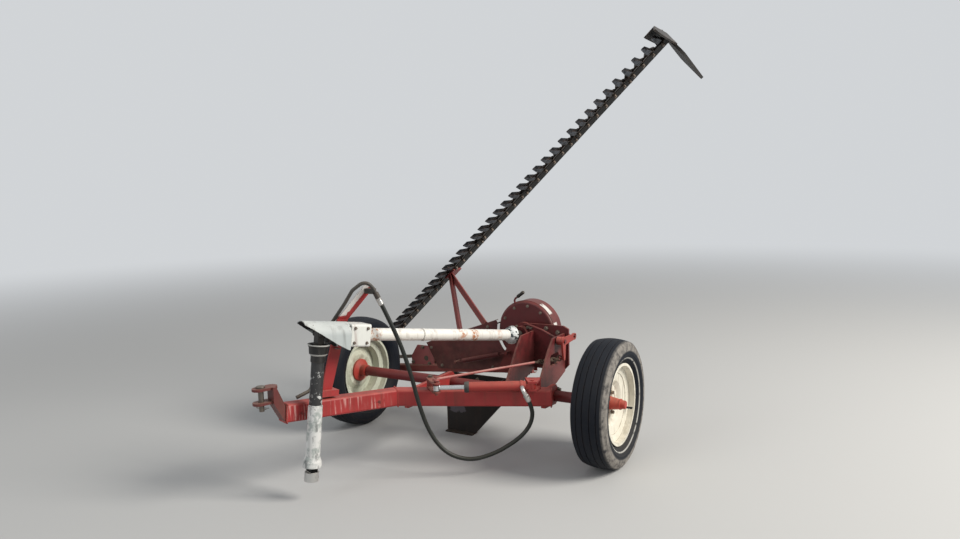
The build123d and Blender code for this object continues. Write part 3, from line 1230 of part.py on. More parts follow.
# Lift lever on a pin at the beam's bend
lever_flat = Plane(origin=LEVER_PIVOT, x_dir=(ROD_EYE - LEVER_PIVOT).normalized(), z_dir=(0, 0, 1))
lever_reach = length_of(LEVER_PIVOT, ROD_EYE)
with BuildPart() as lift_lever:
    for level in (-EYE_HALF - RUN_GAP - LEVER_WALL, EYE_HALF + RUN_GAP):
        with BuildSketch(lever_flat.offset(level)):
            with Locations((lever_reach / 2, 0)):
                SlotCenterToCenter(lever_reach, 2 * EYE_RADIUS + 4)
        extrude(amount=LEVER_WALL)
    with BuildSketch(lever_flat.offset(-EYE_HALF - RUN_GAP)):
        Circle(EYE_RADIUS)
    extrude(amount=2 * (EYE_HALF + RUN_GAP))
    with BuildSketch(lever_flat.offset(-40)):
        with Locations((lever_reach, 0)):
            Circle(EYE_PIN_RADIUS)
    extrude(amount=40 + PULL_FRONT.Z - LEVER_PIVOT.Z + 12)
    with BuildSketch(lever_flat.offset(-60)):
        Circle(EYE_PIN_RADIUS + 3 + PIN_FIT)
    extrude(amount=120, mode=Mode.SUBTRACT)
lift_lever.part.label = "lift_lever"
export_step(lift_lever.part, "parts/lift_lever.step")

with BuildPart() as lever_pin:
    pin_base = BEAM_BEND.Z + FRAME_HEIGHT / 2
    with BuildSketch(Plane(origin=(LEVER_PIVOT.X, LEVER_PIVOT.Y, pin_base))):
        Circle(EYE_PIN_RADIUS + 3)
    extrude(amount=LEVER_PIVOT.Z - pin_base + EYE_HALF + RUN_GAP + LEVER_WALL + 12)
lever_pin.part.label = "lever_pin"
export_step(lever_pin.part, "parts/lever_pin.step")

# Pull rod from the lever, with a chain at its rear end
rod_end = ROCKER_AXIS - Vector(0, 0, ROCKER_DROP)
pull_line = (rod_end - PULL_FRONT).normalized()
pull_run = length_of(PULL_FRONT, rod_end)
chain_run = END_LINK_REACH + (LINK_COUNT - 1) * LINK_PITCH + LINK_LENGTH_INSIDE / 2 + LINK_WIRE + SEAT
pull_plane = along(PULL_FRONT, rod_end)
with BuildPart() as pull_rod:
    with BuildSketch(Plane(origin=PULL_FRONT, x_dir=pull_line, z_dir=(0, 0, 1)).offset(-6)):
        Circle(EYE_PIN_RADIUS + 9)
        Circle(EYE_PIN_RADIUS + PIN_FIT, mode=Mode.SUBTRACT)
    extrude(amount=12)
    with BuildSketch(pull_plane.offset(EYE_PIN_RADIUS + 6)):
        Circle(PULL_ROD_RADIUS)
    extrude(amount=pull_run - chain_run - EYE_PIN_RADIUS - 6)
pull_rod.part.label = "pull_rod"
export_step(pull_rod.part, "parts/pull_rod.step")

with BuildPart() as lift_chain:
    # Flat-drawn links, turned a quarter from one to the next, and a wider end link on the rocker's pin
    for link in range(LINK_COUNT):
        link_centre = PULL_FRONT + pull_line * (pull_run - END_LINK_REACH - (LINK_COUNT - 1 - link) * LINK_PITCH)
        upright = (LINK_COUNT - 1 - link) % 2 == 0
        facing = pull_line.cross(Vector(0, 0, 1)) if upright else Vector(0, 0, 1)
        inside = END_LINK_INSIDE if link == LINK_COUNT - 1 else LINK_INSIDE
        with BuildSketch(Plane(origin=link_centre, x_dir=pull_line, z_dir=facing).offset(-LINK_WIRE / 2)):
            SlotOverall(LINK_LENGTH_INSIDE + 2 * LINK_WIRE, inside + 2 * LINK_WIRE)
            SlotOverall(LINK_LENGTH_INSIDE, inside, mode=Mode.SUBTRACT)
        extrude(amount=LINK_WIRE)
lift_chain.part.label = "lift_chain"
export_step(lift_chain.part, "parts/lift_chain.step")

# Rocker on the stand's pivot: one arm down to the chain, one back to the carrier's lug
with BuildPart() as lift_rocker:
    rocker_side = Plane(origin=(ROCKER_PLATE_X, ROCKER_AXIS.Y, ROCKER_AXIS.Z), x_dir=(0, 1, 0), z_dir=(1, 0, 0))
    with BuildSketch(rocker_side):
        Circle(26)
        with BuildLine():
            Polyline(
                (-14, 20), (-ROCKER_REACH - 6, 16), (-ROCKER_REACH - 6, -16), (-20, -24), (-11, -ROCKER_DROP),
                (11, -ROCKER_DROP), (26, 0), close=True,
            )
        make_face()
        with Locations((0, -ROCKER_DROP)):
            Circle(11)
        with Locations((-ROCKER_REACH, 0)):
            SlotCenterToCenter(10, 38)
            SlotCenterToCenter(14, 2 * (LUG_PIN_RADIUS + 5), mode=Mode.SUBTRACT)
    extrude(amount=12)
    with BuildSketch(rocker_side):
        Circle(24)
    extrude(amount=42)
    with BuildSketch(rocker_side):
        Circle(ROCKER_PIN_RADIUS + PIN_FIT)
    extrude(amount=60, both=True, mode=Mode.SUBTRACT)
    with BuildSketch(rocker_side.offset(12)):
        with Locations((0, -ROCKER_DROP)):
            Circle(CHAIN_PIN_RADIUS)
    extrude(amount=CHAIN_PIN_LENGTH)
lift_rocker.part.label = "lift_rocker"
export_step(lift_rocker.part, "parts/lift_rocker.step")

# Elbow at the barrel's port
port_out = Vector(-cylinder_plane.z_dir.Y, cylinder_plane.z_dir.X, 0)
port_start = CYLINDER_BASE + cylinder_plane.z_dir * PORT_REACH + port_out * (BARREL_RADIUS + SEAT)
hose_way = Vector(0.8, 0.6, 0)
hose_exit = (hose_way * HOSE_POINTS[1][0] + Vector(0, 0, HOSE_POINTS[1][1])).normalized()
elbow_path = [port_start, port_start + port_out * 36, port_start + port_out * 36 + hose_exit * 40]
with BuildPart() as hose_elbow:
    with BuildLine() as elbow_line:
        FilletPolyline(*elbow_path, radius=16)
    with BuildSketch(Plane(origin=elbow_path[0], z_dir=port_out)):
        Circle(HOSE_RADIUS)
    sweep(path=elbow_line.wires()[0])
hose_elbow.part.label = "hose_elbow"
export_step(hose_elbow.part, "parts/hose_elbow.step")

# Lift hose: out of the elbow, down behind the beam's end and forward, in one upright plane, and up to the post
hose_start = elbow_path[-1] + hose_exit * SEAT
hose_path = [hose_start + hose_way * run + Vector(0, 0, rise) for run, rise in HOSE_POINTS]
hose_radii = []
for before, corner, after in zip(hose_path, hose_path[1:], hose_path[2:]):
    turn = radians((corner - before).get_angle(after - corner))
    shorter = min((corner - before).length, (after - corner).length)
    hose_radii.append(0.45 * shorter / tan(turn / 2))
print("hose radii", [round(radius) for radius in hose_radii])
with BuildPart() as lift_hose:
    with BuildLine() as hose_line:
        FilletPolyline(*hose_path, radius=hose_radii)
    with BuildSketch(Plane(origin=hose_path[0], z_dir=hose_path[1] - hose_path[0])):
        Circle(HOSE_RADIUS)
    sweep(path=hose_line.wires()[0])
lift_hose.part.label = "lift_hose"
export_step(lift_hose.part, "parts/lift_hose.step")

# Rigid line from the hose's coupling over the post's top and down its front edge to the tongue
line_start = hose_path[-1]
line_way = (hose_path[-1] - hose_path[-2]).normalized()
line_path = [line_start + line_way * SEAT, line_start + line_way * 60] + [Vector(*point) for point in LINE_POINTS]
with BuildPart() as lift_line:
    with BuildLine() as line_route:
        FilletPolyline(*line_path, radius=[26, 40, 40, 60, 60, 60, 30, 30])
    with BuildSketch(Plane(origin=line_path[0], z_dir=line_way)):
        Circle(LINE_RADIUS)
    sweep(path=line_route.wires()[0])
    # Coupling at its lower end and clamp on the post's top
    with BuildSketch(Plane(origin=line_path[0], z_dir=line_way)):
        Circle(HOSE_RADIUS + 3)
    extrude(amount=34)
    with Locations(line_path[1] + Vector(25, -8, -16)):
        Box(54, 26, 26)
    add(pto_post.part, mode=Mode.SUBTRACT)
lift_line.part.label = "lift_line"
export_step(lift_line.part, "parts/lift_line.step")
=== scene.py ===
"""Towed sickle bar mower, parked with its cutter bar folded up over the axle.

Metres, in the frame of the solids: origin on the ground under the axle's middle, +X to the
machine's right, +Y forwards, +Z up. Each section dresses its own solids and adds its own pieces.
"""

import math

import bmesh
import bpy
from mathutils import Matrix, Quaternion, Vector


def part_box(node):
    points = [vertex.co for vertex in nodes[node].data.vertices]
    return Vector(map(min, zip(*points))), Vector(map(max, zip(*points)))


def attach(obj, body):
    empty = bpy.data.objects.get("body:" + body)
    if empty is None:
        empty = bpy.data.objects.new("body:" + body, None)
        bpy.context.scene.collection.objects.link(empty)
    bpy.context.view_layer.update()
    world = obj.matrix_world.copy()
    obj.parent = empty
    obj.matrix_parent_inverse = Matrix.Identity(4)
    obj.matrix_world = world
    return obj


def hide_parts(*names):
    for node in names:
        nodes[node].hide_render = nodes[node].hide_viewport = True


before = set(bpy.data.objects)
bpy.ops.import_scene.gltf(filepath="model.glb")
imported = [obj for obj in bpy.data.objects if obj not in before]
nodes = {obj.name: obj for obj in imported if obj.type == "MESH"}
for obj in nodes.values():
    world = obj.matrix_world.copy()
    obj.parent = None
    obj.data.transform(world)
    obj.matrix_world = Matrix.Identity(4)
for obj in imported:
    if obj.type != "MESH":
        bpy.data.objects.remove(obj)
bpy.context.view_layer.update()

# Camera: held at standing height off the machine's left front corner, leaning a little to
# its right, with a wide lens.


def add_object(name, data):
    """A new object in the scene, with that data."""
    added = bpy.data.objects.new(name, data)
    bpy.context.scene.collection.objects.link(added)
    return added


camera_data = bpy.data.cameras.new("camera")
camera_data.sensor_width = 36
camera_data.lens = 27.75
camera = add_object("camera", camera_data)
camera.location = (-2.179, 3.603, 1.511)
camera_heading = Vector((0.501, -0.857, -0.117))
camera_roll = Quaternion((0, 0, 1), math.radians(-1.5))
camera.rotation_euler = (camera_heading.to_track_quat("-Z", "Y") @ camera_roll).to_euler()
bpy.context.scene.camera = camera

# Lift hose: black rubber hydraulic hose of 22 mm. It leaves the elbow at the cylinder's base,
# hangs in a low loop and climbs to the pipe that is clamped to the post.
hose_radius = 0.011
hose_route = (
    (-0.49694, 0.28952, 0.41219), (-0.52254, 0.27032, 0.35019), (-0.52094, 0.27152, 0.27819),
    (-0.48894, 0.29552, 0.21419), (-0.43294, 0.33752, 0.16219), (-0.35294, 0.39752, 0.11219),
    (-0.25694, 0.46952, 0.08719), (-0.16094, 0.54152, 0.13219), (-0.09694, 0.58952, 0.24219),
    (-0.05694, 0.61952, 0.39219), (-0.02654, 0.64232, 0.57219), (0.02146, 0.67832, 0.76719),
    (0.08786, 0.72812, 0.95019),
)
hose_curve = bpy.data.curves.new("lift_hose_rubber", "CURVE")
hose_curve.dimensions = "3D"
hose_curve.bevel_depth = 1.0
hose_curve.bevel_resolution = 5
hose_curve.resolution_u = 16
hose_curve.use_fill_caps = True
hose_spline = hose_curve.splines.new("NURBS")
hose_spline.points.add(len(hose_route) - 1)
for point, place in zip(hose_spline.points, hose_route):
    point.co = (*place, 1)
    point.radius = hose_radius
hose_spline.order_u = 3
hose_spline.use_endpoint_u = True
lift_hose = add_object("lift_hose_rubber", hose_curve)
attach(lift_hose, "frame")
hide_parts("lift_hose")

# Studio: a plain pale floor that runs into a pale backdrop, one large soft lamp from the
# machine's left rear quarter, a smaller one from the front, and even light all round.
backdrop_colour = (0.64, 0.66, 0.68, 1)
floor_colour = (0.50, 0.50, 0.49, 1)
fade_start, fade_end = 3.5, 14.0


def put(tree, kind, links=None, **settings):
    """A node of that kind; links names or numbers its inputs, each given a socket or a value."""
    new = tree.nodes.new(kind)
    for name, value in settings.items():
        setattr(new, name, value)
    for socket, value in (links or {}).items():
        if isinstance(value, bpy.types.NodeSocket):
            tree.links.new(value, new.inputs[socket])
        else:
            new.inputs[socket].default_value = value
    return new


def node(kind, links, out=0, **settings):
    """One output of a new shader node, in the tree that its first linked input comes from."""
    tree = next(value.id_data for value in links.values() if isinstance(value, bpy.types.NodeSocket))
    return put(tree, "ShaderNode" + kind, links, **settings).outputs[out]


def maths(operation, first, second=0.0, clamp=False):
    return node("Math", {0: first, 1: second}, operation=operation, use_clamp=clamp)


def times(product, *factors):
    for factor in factors:
        product = maths("MULTIPLY", product, factor)
    return product


def plus(total, *terms):
    for term in terms:
        total = maths("ADD", total, term)
    return total


def minus(first, second):
    return maths("SUBTRACT", first, second)


def step(value, low, high):
    """0 up to low, 1 from high on, smooth between; the other way round if low is above high."""
    return node("MapRange", {0: value, 1: low, 2: high}, interpolation_type="SMOOTHSTEP")


def near(value, middle, edge, core):
    """1 where value is within core of middle, fading to 0 at edge."""
    return step(maths("ABSOLUTE", minus(value, middle)), edge, core)


def within(value, low, high):
    """1 between low and high, with sharp ends."""
    return times(maths("GREATER_THAN", value, low), maths("LESS_THAN", value, high))


def noise(where, scale, detail=3.0, rough=0.55):
    return node("TexNoise", {"Vector": where, "Scale": scale, "Detail": detail, "Roughness": rough})


def stretched(where, scale, turn=(0, 0, 0)):
    return node("Mapping", {"Vector": where, "Scale": scale, "Rotation": turn})


def blend(share, under, over):
    return node("Mix", {0: share, 6: under, 7: over}, 2, data_type="RGBA", clamp_factor=True)


def parts(vector):
    return put(vector.id_data, "ShaderNodeSeparateXYZ", {0: vector}).outputs


def length(x=0.0, y=0.0, z=0.0):
    joined = node("CombineXYZ", {0: x, 1: y, 2: z})
    return node("VectorMath", {0: joined}, "Value", operation="LENGTH")


def dot(first, second):
    return node("VectorMath", {0: first, 1: second}, "Value", operation="DOT_PRODUCT")


def object_place(tree):
    """Where each point of the surface is, in the object's own coordinates."""
    return put(tree, "ShaderNodeTexCoord").outputs["Object"]


def surface_normal(tree):
    return put(tree, "ShaderNodeNewGeometry").outputs["Normal"]


def seen(tree):
    """1 for rays from the camera, a mirror or glass, which see the backdrop."""
    rays = put(tree, "ShaderNodeLightPath").outputs
    either = plus(rays["Is Camera Ray"], rays["Is Glossy Ray"])
    return maths("ADD", either, rays["Is Transmission Ray"], clamp=True)


class Finish:
    """A new material. A weathered one has a shader, over which a section may lay more colours."""

    def __init__(self, name):
        self.material = bpy.data.materials.new(name)
        self.material.use_nodes = True
        self.tree = self.material.node_tree
        self.tree.nodes.clear()
        self.output = self.tree.nodes.new("ShaderNodeOutputMaterial")

    def show(self, shader):
        self.tree.links.new(shader, self.output.inputs["Surface"])

    def place(self):
        return object_place(self.tree)

    def along(self, origin, direction):
        """How far each point of the surface lies from origin along a direction."""
        from_origin = node("VectorMath", {0: self.place(), 1: origin}, operation="SUBTRACT")
        return dot(from_origin, direction)

    def facing(self, direction):
        """1 where the surface faces that way, 0 across it and -1 behind."""
        return dot(surface_normal(self.tree), direction)

    def lay_over(self, mask, colour, rough=None):
        """Lays a colour, and a roughness if given, over the finish where mask is 1."""
        base, roughness = self.shader.inputs["Base Color"], self.shader.inputs["Roughness"]
        self.tree.links.new(blend(mask, base.links[0].from_socket, (*colour, 1)), base)
        if rough is not None:
            rougher = node("Mix", {0: mask, 2: roughness.links[0].from_socket, 3: rough})
            self.tree.links.new(rougher, roughness)

    def dress(self, *names):
        """Gives the finish to solids by name."""
        for name in names:
            for slot in nodes[name].material_slots:
                slot.material = self.material


ground = Finish("studio_floor")
ground_paint = put(ground.tree, "ShaderNodeBsdfPrincipled", {"Base Color": floor_colour, "Roughness": 0.9})
distant = put(ground.tree, "ShaderNodeEmission", {"Color": backdrop_colour})
away = node("VectorMath", {0: ground.place()}, "Value", operation="LENGTH")
faded_out = times(step(away, fade_start, fade_end), seen(ground.tree))
ground.show(node("MixShader", {0: faded_out, 1: ground_paint.outputs[0], 2: distant.outputs[0]}))

floor_mesh = bpy.data.meshes.new("studio_floor")
floor_form = bmesh.new()
bmesh.ops.create_circle(floor_form, cap_ends=True, radius=60, segments=96)
floor_form.to_mesh(floor_mesh)
floor_form.free()
floor_mesh.materials.append(ground.material)
floor = add_object("studio_floor", floor_mesh)
floor.location.z = -0.0005

world = bpy.data.worlds.new("studio")
bpy.context.scene.world = world
world.use_nodes = True
sky = world.node_tree
sky.nodes.clear()
ambient = put(sky, "ShaderNodeBackground", {"Color": (0.93, 0.96, 1.0, 1), "Strength": 0.40}).outputs[0]
backdrop = put(sky, "ShaderNodeBackground", {"Color": backdrop_colour, "Strength": 1.0}).outputs[0]
all_round = node("MixShader", {0: seen(sky), 1: ambient, 2: backdrop})
put(sky, "ShaderNodeOutputWorld", {"Surface": all_round})

lamp_width, lamp_aim = 4.0, Vector((0, 0.2, 0.6))
lamp_table = (
    # name, place, power in watts, colour
    ("key_lamp", (-8.4, -1.2, 6.4), 1220, (1.0, 0.96, 0.90)),
    ("front_lamp", (2.6, 8.2, 4.4), 150, (0.94, 0.97, 1.0)),
)
for name, place, power, colour in lamp_table:
    lamp_data = bpy.data.lights.new(name, "AREA")
    lamp_data.size = lamp_width
    lamp_data.energy = power
    lamp_data.color = colour
    lamp = add_object(name, lamp_data)
    lamp.location = place
    lamp.rotation_euler = (lamp_aim - Vector(place)).to_track_quat("-Z", "Y").to_euler()
bpy.context.scene.view_settings.view_transform = "Standard"

# Frame and axle: welded square and round tube in one coat of red gloss, faded pink where the
# sun reaches it, chipped to brown rust on its edges and dusted with dry earth low down.
forwards, up = Vector((0, 1, 0)), Vector((0, 0, 1))
rust_brown = (0.060, 0.026, 0.016)
dry_earth = (0.40, 0.33, 0.23)
orange_rust = (0.20, 0.085, 0.035)

weathering = bpy.data.node_groups.new("weathering", "ShaderNodeTree")
for label in ("Fresh", "Faded", "Under", "Dust colour"):
    weathering.interface.new_socket(name=label, in_out="INPUT", socket_type="NodeSocketColor")
for label in ("Fading", "Edge wear", "Chips", "Dust", "Grain", "Edge size"):
    weathering.interface.new_socket(name=label, in_out="INPUT", socket_type="NodeSocketFloat")
weathering.interface.new_socket(name="Color", in_out="OUTPUT", socket_type="NodeSocketColor")
for label in ("Roughness", "Height", "Chipped"):
    weathering.interface.new_socket(name=label, in_out="OUTPUT", socket_type="NodeSocketFloat")
given = weathering.nodes.new("NodeGroupInput").outputs

place, face = object_place(weathering), surface_normal(weathering)
grained = node("VectorMath", {0: place, 3: given["Grain"]}, operation="SCALE")
broad = noise(grained, 3.2, 4.0)
patchy = noise(grained, 21.0, 5.0, 0.62)
fine = noise(grained, 170.0, 3.0, 0.6)
specks = noise(grained, 70.0, 2.0, 0.5)
streaks = noise(stretched(grained, (26.0, 26.0, 2.2)), 1.0)
rounded = node("Bevel", {"Radius": given["Edge size"]}, samples=4)
edge = step(dot(rounded, face), 0.995, 0.80)
skyward = step(parts(face)[2], -0.15, 0.85)
# Sun bleaches what faces up, unevenly, and rust runs down in streaks
sunlit = times(plus(times(skyward, 0.75), 0.25), given["Fading"])
bleach = maths("MULTIPLY", sunlit, plus(step(broad, 0.3, 0.7), 0.45), clamp=True)
paint = blend(bleach, given["Fresh"], given["Faded"])
paint = blend(times(step(streaks, 0.5, 0.78), 0.42), paint, given["Under"])
# Paint is lost along the edges and in scattered chips
ragged = step(plus(patchy, times(specks, 0.35)), 0.55, 0.78)
edge_loss = times(edge, given["Edge wear"], ragged)
chip_level = minus(0.80, times(given["Chips"], 0.30))
chip = maths("GREATER_THAN", plus(times(patchy, 0.72), times(specks, 0.34)), chip_level)
lost = maths("MAXIMUM", maths("MULTIPLY", edge_loss, 1.6, clamp=True), chip)
rusty = blend(0.55, given["Under"], (*orange_rust, 1))
worn = blend(lost, paint, blend(step(fine, 0.35, 0.7), given["Under"], rusty))
# Dust lies on what faces up and gathers towards the ground
low_down = plus(step(parts(place)[2], 0.75, 0.05), 0.35)
settled = plus(times(skyward, 0.8), times(patchy, 0.5))
dust = maths("MULTIPLY", times(given["Dust"], low_down), settled, clamp=True)
shine = plus(times(bleach, 0.18), times(lost, 0.38), times(dust, 0.5), times(fine, 0.14))
put(weathering, "NodeGroupOutput", {
    "Color": blend(dust, worn, given["Dust colour"]), "Roughness": shine,
    "Height": minus(times(fine, 0.25), times(lost, 0.7)), "Chipped": lost,
})


def weathered(
        name, fresh, faded, how_worn, under=rust_brown, grain=1.0, edge_size=0.004, gloss=0.32, metal=0.0,
        relief=0.0006, mirror=0.35):
    """A weathered finish; how_worn gives its fading, edge wear, chips and dust."""
    finish = Finish(name)
    group = put(finish.tree, "ShaderNodeGroup", node_tree=weathering)
    fading, edges, chips, dust = how_worn
    values = {
        "Fresh": (*fresh, 1), "Faded": (*faded, 1), "Under": (*under, 1), "Dust colour": (*dry_earth, 1),
        "Fading": fading, "Edge wear": edges, "Chips": chips, "Dust": dust, "Grain": grain,
        "Edge size": edge_size,
    }
    for label, value in values.items():
        group.inputs[label].default_value = value
    made = group.outputs
    finish.shader = put(finish.tree, "ShaderNodeBsdfPrincipled", {
        "Base Color": made["Color"], "Roughness": maths("ADD", made["Roughness"], gloss, clamp=True),
        "Normal": node("Bump", {"Strength": 0.6, "Distance": relief, "Height": made["Height"]}),
        "Specular IOR Level": mirror,
    })
    if metal:
        kept = minus(metal, times(made["Chipped"], metal))
        finish.tree.links.new(kept, finish.shader.inputs["Metallic"])
    finish.show(finish.shader.outputs[0])
    return finish


red_fresh = (0.300, 0.009, 0.014)
red_paint = weathered("red_gloss", red_fresh, (0.480, 0.060, 0.058), (0.70, 0.55, 0.20, 0.18))
# Painted shade: the axle gets a darker copy of the red gloss.
red_shade = weathered(
    "red_gloss_shaded", (0.130, 0.006, 0.010), (0.240, 0.024, 0.028), (0.5, 0.4, 0.10, 0.08))
# Pale drips and dark patches down the tongue's side
place = red_paint.place()
on_side = step(maths("ABSOLUTE", red_paint.facing(up)), 0.45, 0.25)
on_tongue = times(on_side, step(parts(place)[1], 0.50, 0.62))
running = step(noise(stretched(place, (70.0, 70.0, 5.0)), 1.0, 3.0, 0.6), 0.50, 0.66)
drips = times(running, step(noise(place, 9.0), 0.40, 0.60))
red_paint.lay_over(times(drips, on_tongue, 0.75), (0.56, 0.30, 0.27), 0.7)
dark_patches = step(noise(place, 14.0, 6.0, 0.7), 0.60, 0.66)
red_paint.lay_over(times(dark_patches, on_tongue, 0.8), (0.035, 0.018, 0.014), 0.7)
red_paint.dress("main_frame", "left_axle_bracket", "right_axle_bracket", "cylinder_foot")
red_shade.dress("axle")


def ride_along(name, mesh, body):
    """A piece of the scene that moves with a body of the machine."""
    piece = add_object(name, mesh)
    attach(piece, body)
    return piece


def finish_piece(form, name, body, finish, smooth=35):
    """A bmesh becomes a piece, shaded smooth up to an angle in degrees."""
    bmesh.ops.remove_doubles(form, verts=form.verts, dist=1e-6)
    bmesh.ops.recalc_face_normals(form, faces=form.faces)
    mesh = bpy.data.meshes.new(name)
    form.to_mesh(mesh)
    form.free()
    mesh.shade_smooth()
    mesh.set_sharp_from_angle(angle=math.radians(smooth))
    mesh.materials.append(finish.material)
    return ride_along(name, mesh, body)


def geometry_tree(name, inputs):
    """A Geometry Nodes tree with a Geometry input and output, more inputs, and a finish."""
    tree = bpy.data.node_groups.new(name, "GeometryNodeTree")
    tree.interface.new_socket(name="Geometry", in_out="INPUT", socket_type="NodeSocketGeometry")
    for label, value in inputs:
        tree.interface.new_socket(name=label, in_out="INPUT",
                                  socket_type="NodeSocketFloat").default_value = value
    tree.interface.new_socket(name="Finish", in_out="INPUT", socket_type="NodeSocketMaterial")
    tree.interface.new_socket(name="Geometry", in_out="OUTPUT", socket_type="NodeSocketGeometry")
    return tree, tree.nodes.new("NodeGroupInput").outputs


def repeat(tree, points, instance, finish, **links):
    """Ends a tree: the instance on each point, as real geometry with a finish."""
    placed = put(tree, "GeometryNodeInstanceOnPoints", {"Points": points, "Instance": instance, **links})
    solid = put(tree, "GeometryNodeRealizeInstances", {0: placed.outputs[0]})
    coated = put(tree, "GeometryNodeSetMaterial", {"Geometry": solid.outputs[0], "Material": finish})
    put(tree, "NodeGroupOutput", {0: coated.outputs[0]})


def grow(mesh, tree, values, body):
    """Runs a tree on a mesh and keeps the result as a plain piece under the mesh's name."""
    name = mesh.name
    carrier = add_object(name, mesh)
    modifier = carrier.modifiers.new("form", "NODES")
    modifier.node_group = tree
    for socket in tree.interface.items_tree:
        if socket.in_out == "INPUT" and socket.name in values:
            modifier[socket.identifier] = values[socket.name]
    grown = bpy.data.meshes.new_from_object(carrier.evaluated_get(bpy.context.evaluated_depsgraph_get()))
    bpy.data.objects.remove(carrier)
    bpy.data.meshes.remove(mesh)
    grown.name = name
    return ride_along(name, grown, body)


# Hexagon bolt heads on washers, one on each point, of its own size, facing along its own vector
bolt_tree, bolt_in = geometry_tree("bolt_heads", (("Head height", 0.65), ("Washer width", 1.5)))
hexagon = put(
    bolt_tree, "GeometryNodeMeshCylinder", {"Vertices": 6, "Radius": 0.577, "Depth": bolt_in["Head height"]})
washer = put(bolt_tree, "GeometryNodeMeshCylinder", {
    "Vertices": 14, "Radius": times(bolt_in["Washer width"], 0.5), "Depth": 0.24})
head_middle = plus(times(bolt_in["Head height"], 0.5), 0.1)
raised = put(bolt_tree, "GeometryNodeTransform", {
    "Geometry": hexagon.outputs["Mesh"], "Translation": node("CombineXYZ", {2: head_middle})})
whole = put(bolt_tree, "GeometryNodeJoinGeometry")
bolt_tree.links.new(washer.outputs["Mesh"], whole.inputs[0])
bolt_tree.links.new(raised.outputs[0], whole.inputs[0])
facing = put(bolt_tree, "GeometryNodeInputNamedAttribute", {"Name": "facing"}, data_type="FLOAT_VECTOR")
across = put(bolt_tree, "GeometryNodeInputNamedAttribute", {"Name": "across"}, data_type="FLOAT")
turned_to = put(
    bolt_tree, "FunctionNodeAlignRotationToVector", {"Vector": facing.outputs["Attribute"]}, axis="Z")
repeat(bolt_tree, bolt_in["Geometry"], whole.outputs[0], bolt_in["Finish"], Rotation=turned_to.outputs[0],
       Scale=across.outputs["Attribute"])

bolt_steel = weathered(
    "dull_bolt_steel", (0.16, 0.13, 0.11), (0.26, 0.22, 0.19), (0.4, 0.3, 0.45, 0.35), grain=2.5,
    edge_size=0.001, gloss=0.35, metal=0.6)


def bolts(name, body, rows, head=0.65, washer_width=1.5, finish=bolt_steel):
    """Bolt heads in rows, each (facing, width across flats, points)."""
    places = [(point, look, size) for look, size, points in rows for point in points]
    mesh = bpy.data.meshes.new(name)
    mesh.from_pydata([tuple(point) for point, _, _ in places], [], [])
    mesh.attributes.new("facing", "FLOAT_VECTOR", "POINT")
    mesh.attributes.new("across", "FLOAT", "POINT")
    looks = [part for _, look, _ in places for part in Vector(look).normalized()]
    mesh.attributes["facing"].data.foreach_set("vector", looks)
    mesh.attributes["across"].data.foreach_set("value", [size for _, _, size in places])
    values = {"Finish": finish.material, "Head height": head, "Washer width": washer_width}
    return grow(mesh, bolt_tree, values, body)


# Weld beads: overlapping drops along a line
bead_tree, bead_in = geometry_tree("weld_beads", (("Spacing", 0.004), ("Width", 0.0075)))
line = put(bead_tree, "GeometryNodeMeshToCurve", {"Mesh": bead_in["Geometry"]})
even = put(
    bead_tree, "GeometryNodeResampleCurve", {"Curve": line.outputs[0], "Length": bead_in["Spacing"]},
    mode="LENGTH")
drop = put(bead_tree, "GeometryNodeMeshIcoSphere", {"Radius": 0.5, "Subdivisions": 2})
repeat(bead_tree, even.outputs[0], drop.outputs["Mesh"], bead_in["Finish"], Scale=bead_in["Width"])


def welds(name, body, finish, lines, width=0.0075):
    """Weld beads along lines, each a row of points."""
    points, edges = [], []
    for row in lines:
        edges += [(len(points) + i, len(points) + i + 1) for i in range(len(row) - 1)]
        points += [tuple(p) for p in row]
    mesh = bpy.data.meshes.new(name)
    mesh.from_pydata(points, edges, [])
    return grow(mesh, bead_tree, {"Finish": finish.material, "Width": width}, body)


beam_left, beam_bend = Vector((-0.56, 0.12, 0.37)), Vector((0.2, 0.47, 0.37))
tongue_front = Vector((0.4, 1.1, 0.435))
tube_width, tube_height = 0.076, 0.090


def tube_corners(centre, level, rise):
    """The frame's rectangular tube from corner to corner, round a point of its line."""
    return [centre + level * (a * tube_width / 2) + rise * (b * tube_height / 2)
            for a, b in ((-1, -1), (1, -1), (1, 1), (-1, 1), (-1, -1))]


# Welds round both end plates, and round the bend half way between the two directions
beam_run = (beam_bend - beam_left).normalized()
tongue_run = (tongue_front - beam_bend).normalized()
mitre_level = (beam_run + tongue_run).cross(up).normalized() / math.cos(beam_run.angle(tongue_run) / 2)
tube_welds = [tube_corners(beam_bend, mitre_level, up)]
for centre, run in ((beam_left, beam_run), (tongue_front, tongue_run)):
    level = run.cross(up).normalized()
    tube_welds.append(tube_corners(centre, level, level.cross(run).normalized()))
welds("frame_welds", "frame", red_paint, tube_welds)

# Bolts that draw the brackets to the axle
bolts("bracket_bolts", "frame", [
    ((side, 0, 0), 0.019, [(x + side * 0.012, -0.034, z) for z in (0.366, 0.334)])
    for x in (-0.520, 0.150) for side in (-1, 1)])

# Wheels: bias-ply implement tyres with a ribbed tread, on cream pressed rims bolted to red
# cast hubs. The tyre's outer side is dusty tan with a scuffed pale line near the bead.
tyre_radius, wheel_track = 0.340, 0.840
crown_drop, crown_half = 0.011, 0.0785
groove_centres = (-0.052, -0.019, 0.019, 0.052)
groove_half, groove_depth, groove_lip, zigzag = 0.00225, 0.005, 0.0010, 0.0006
tread_steps = 240
# Side wall in points of (across, radius): at the bead, at its widest and at the shoulder
outer_side = ((0.062, 0.220), (0.0925, 0.266), (0.0785, 0.329))
inner_side = ((0.050, 0.220), (0.0805, 0.266), (0.0665, 0.317))
bead_radius = 0.206


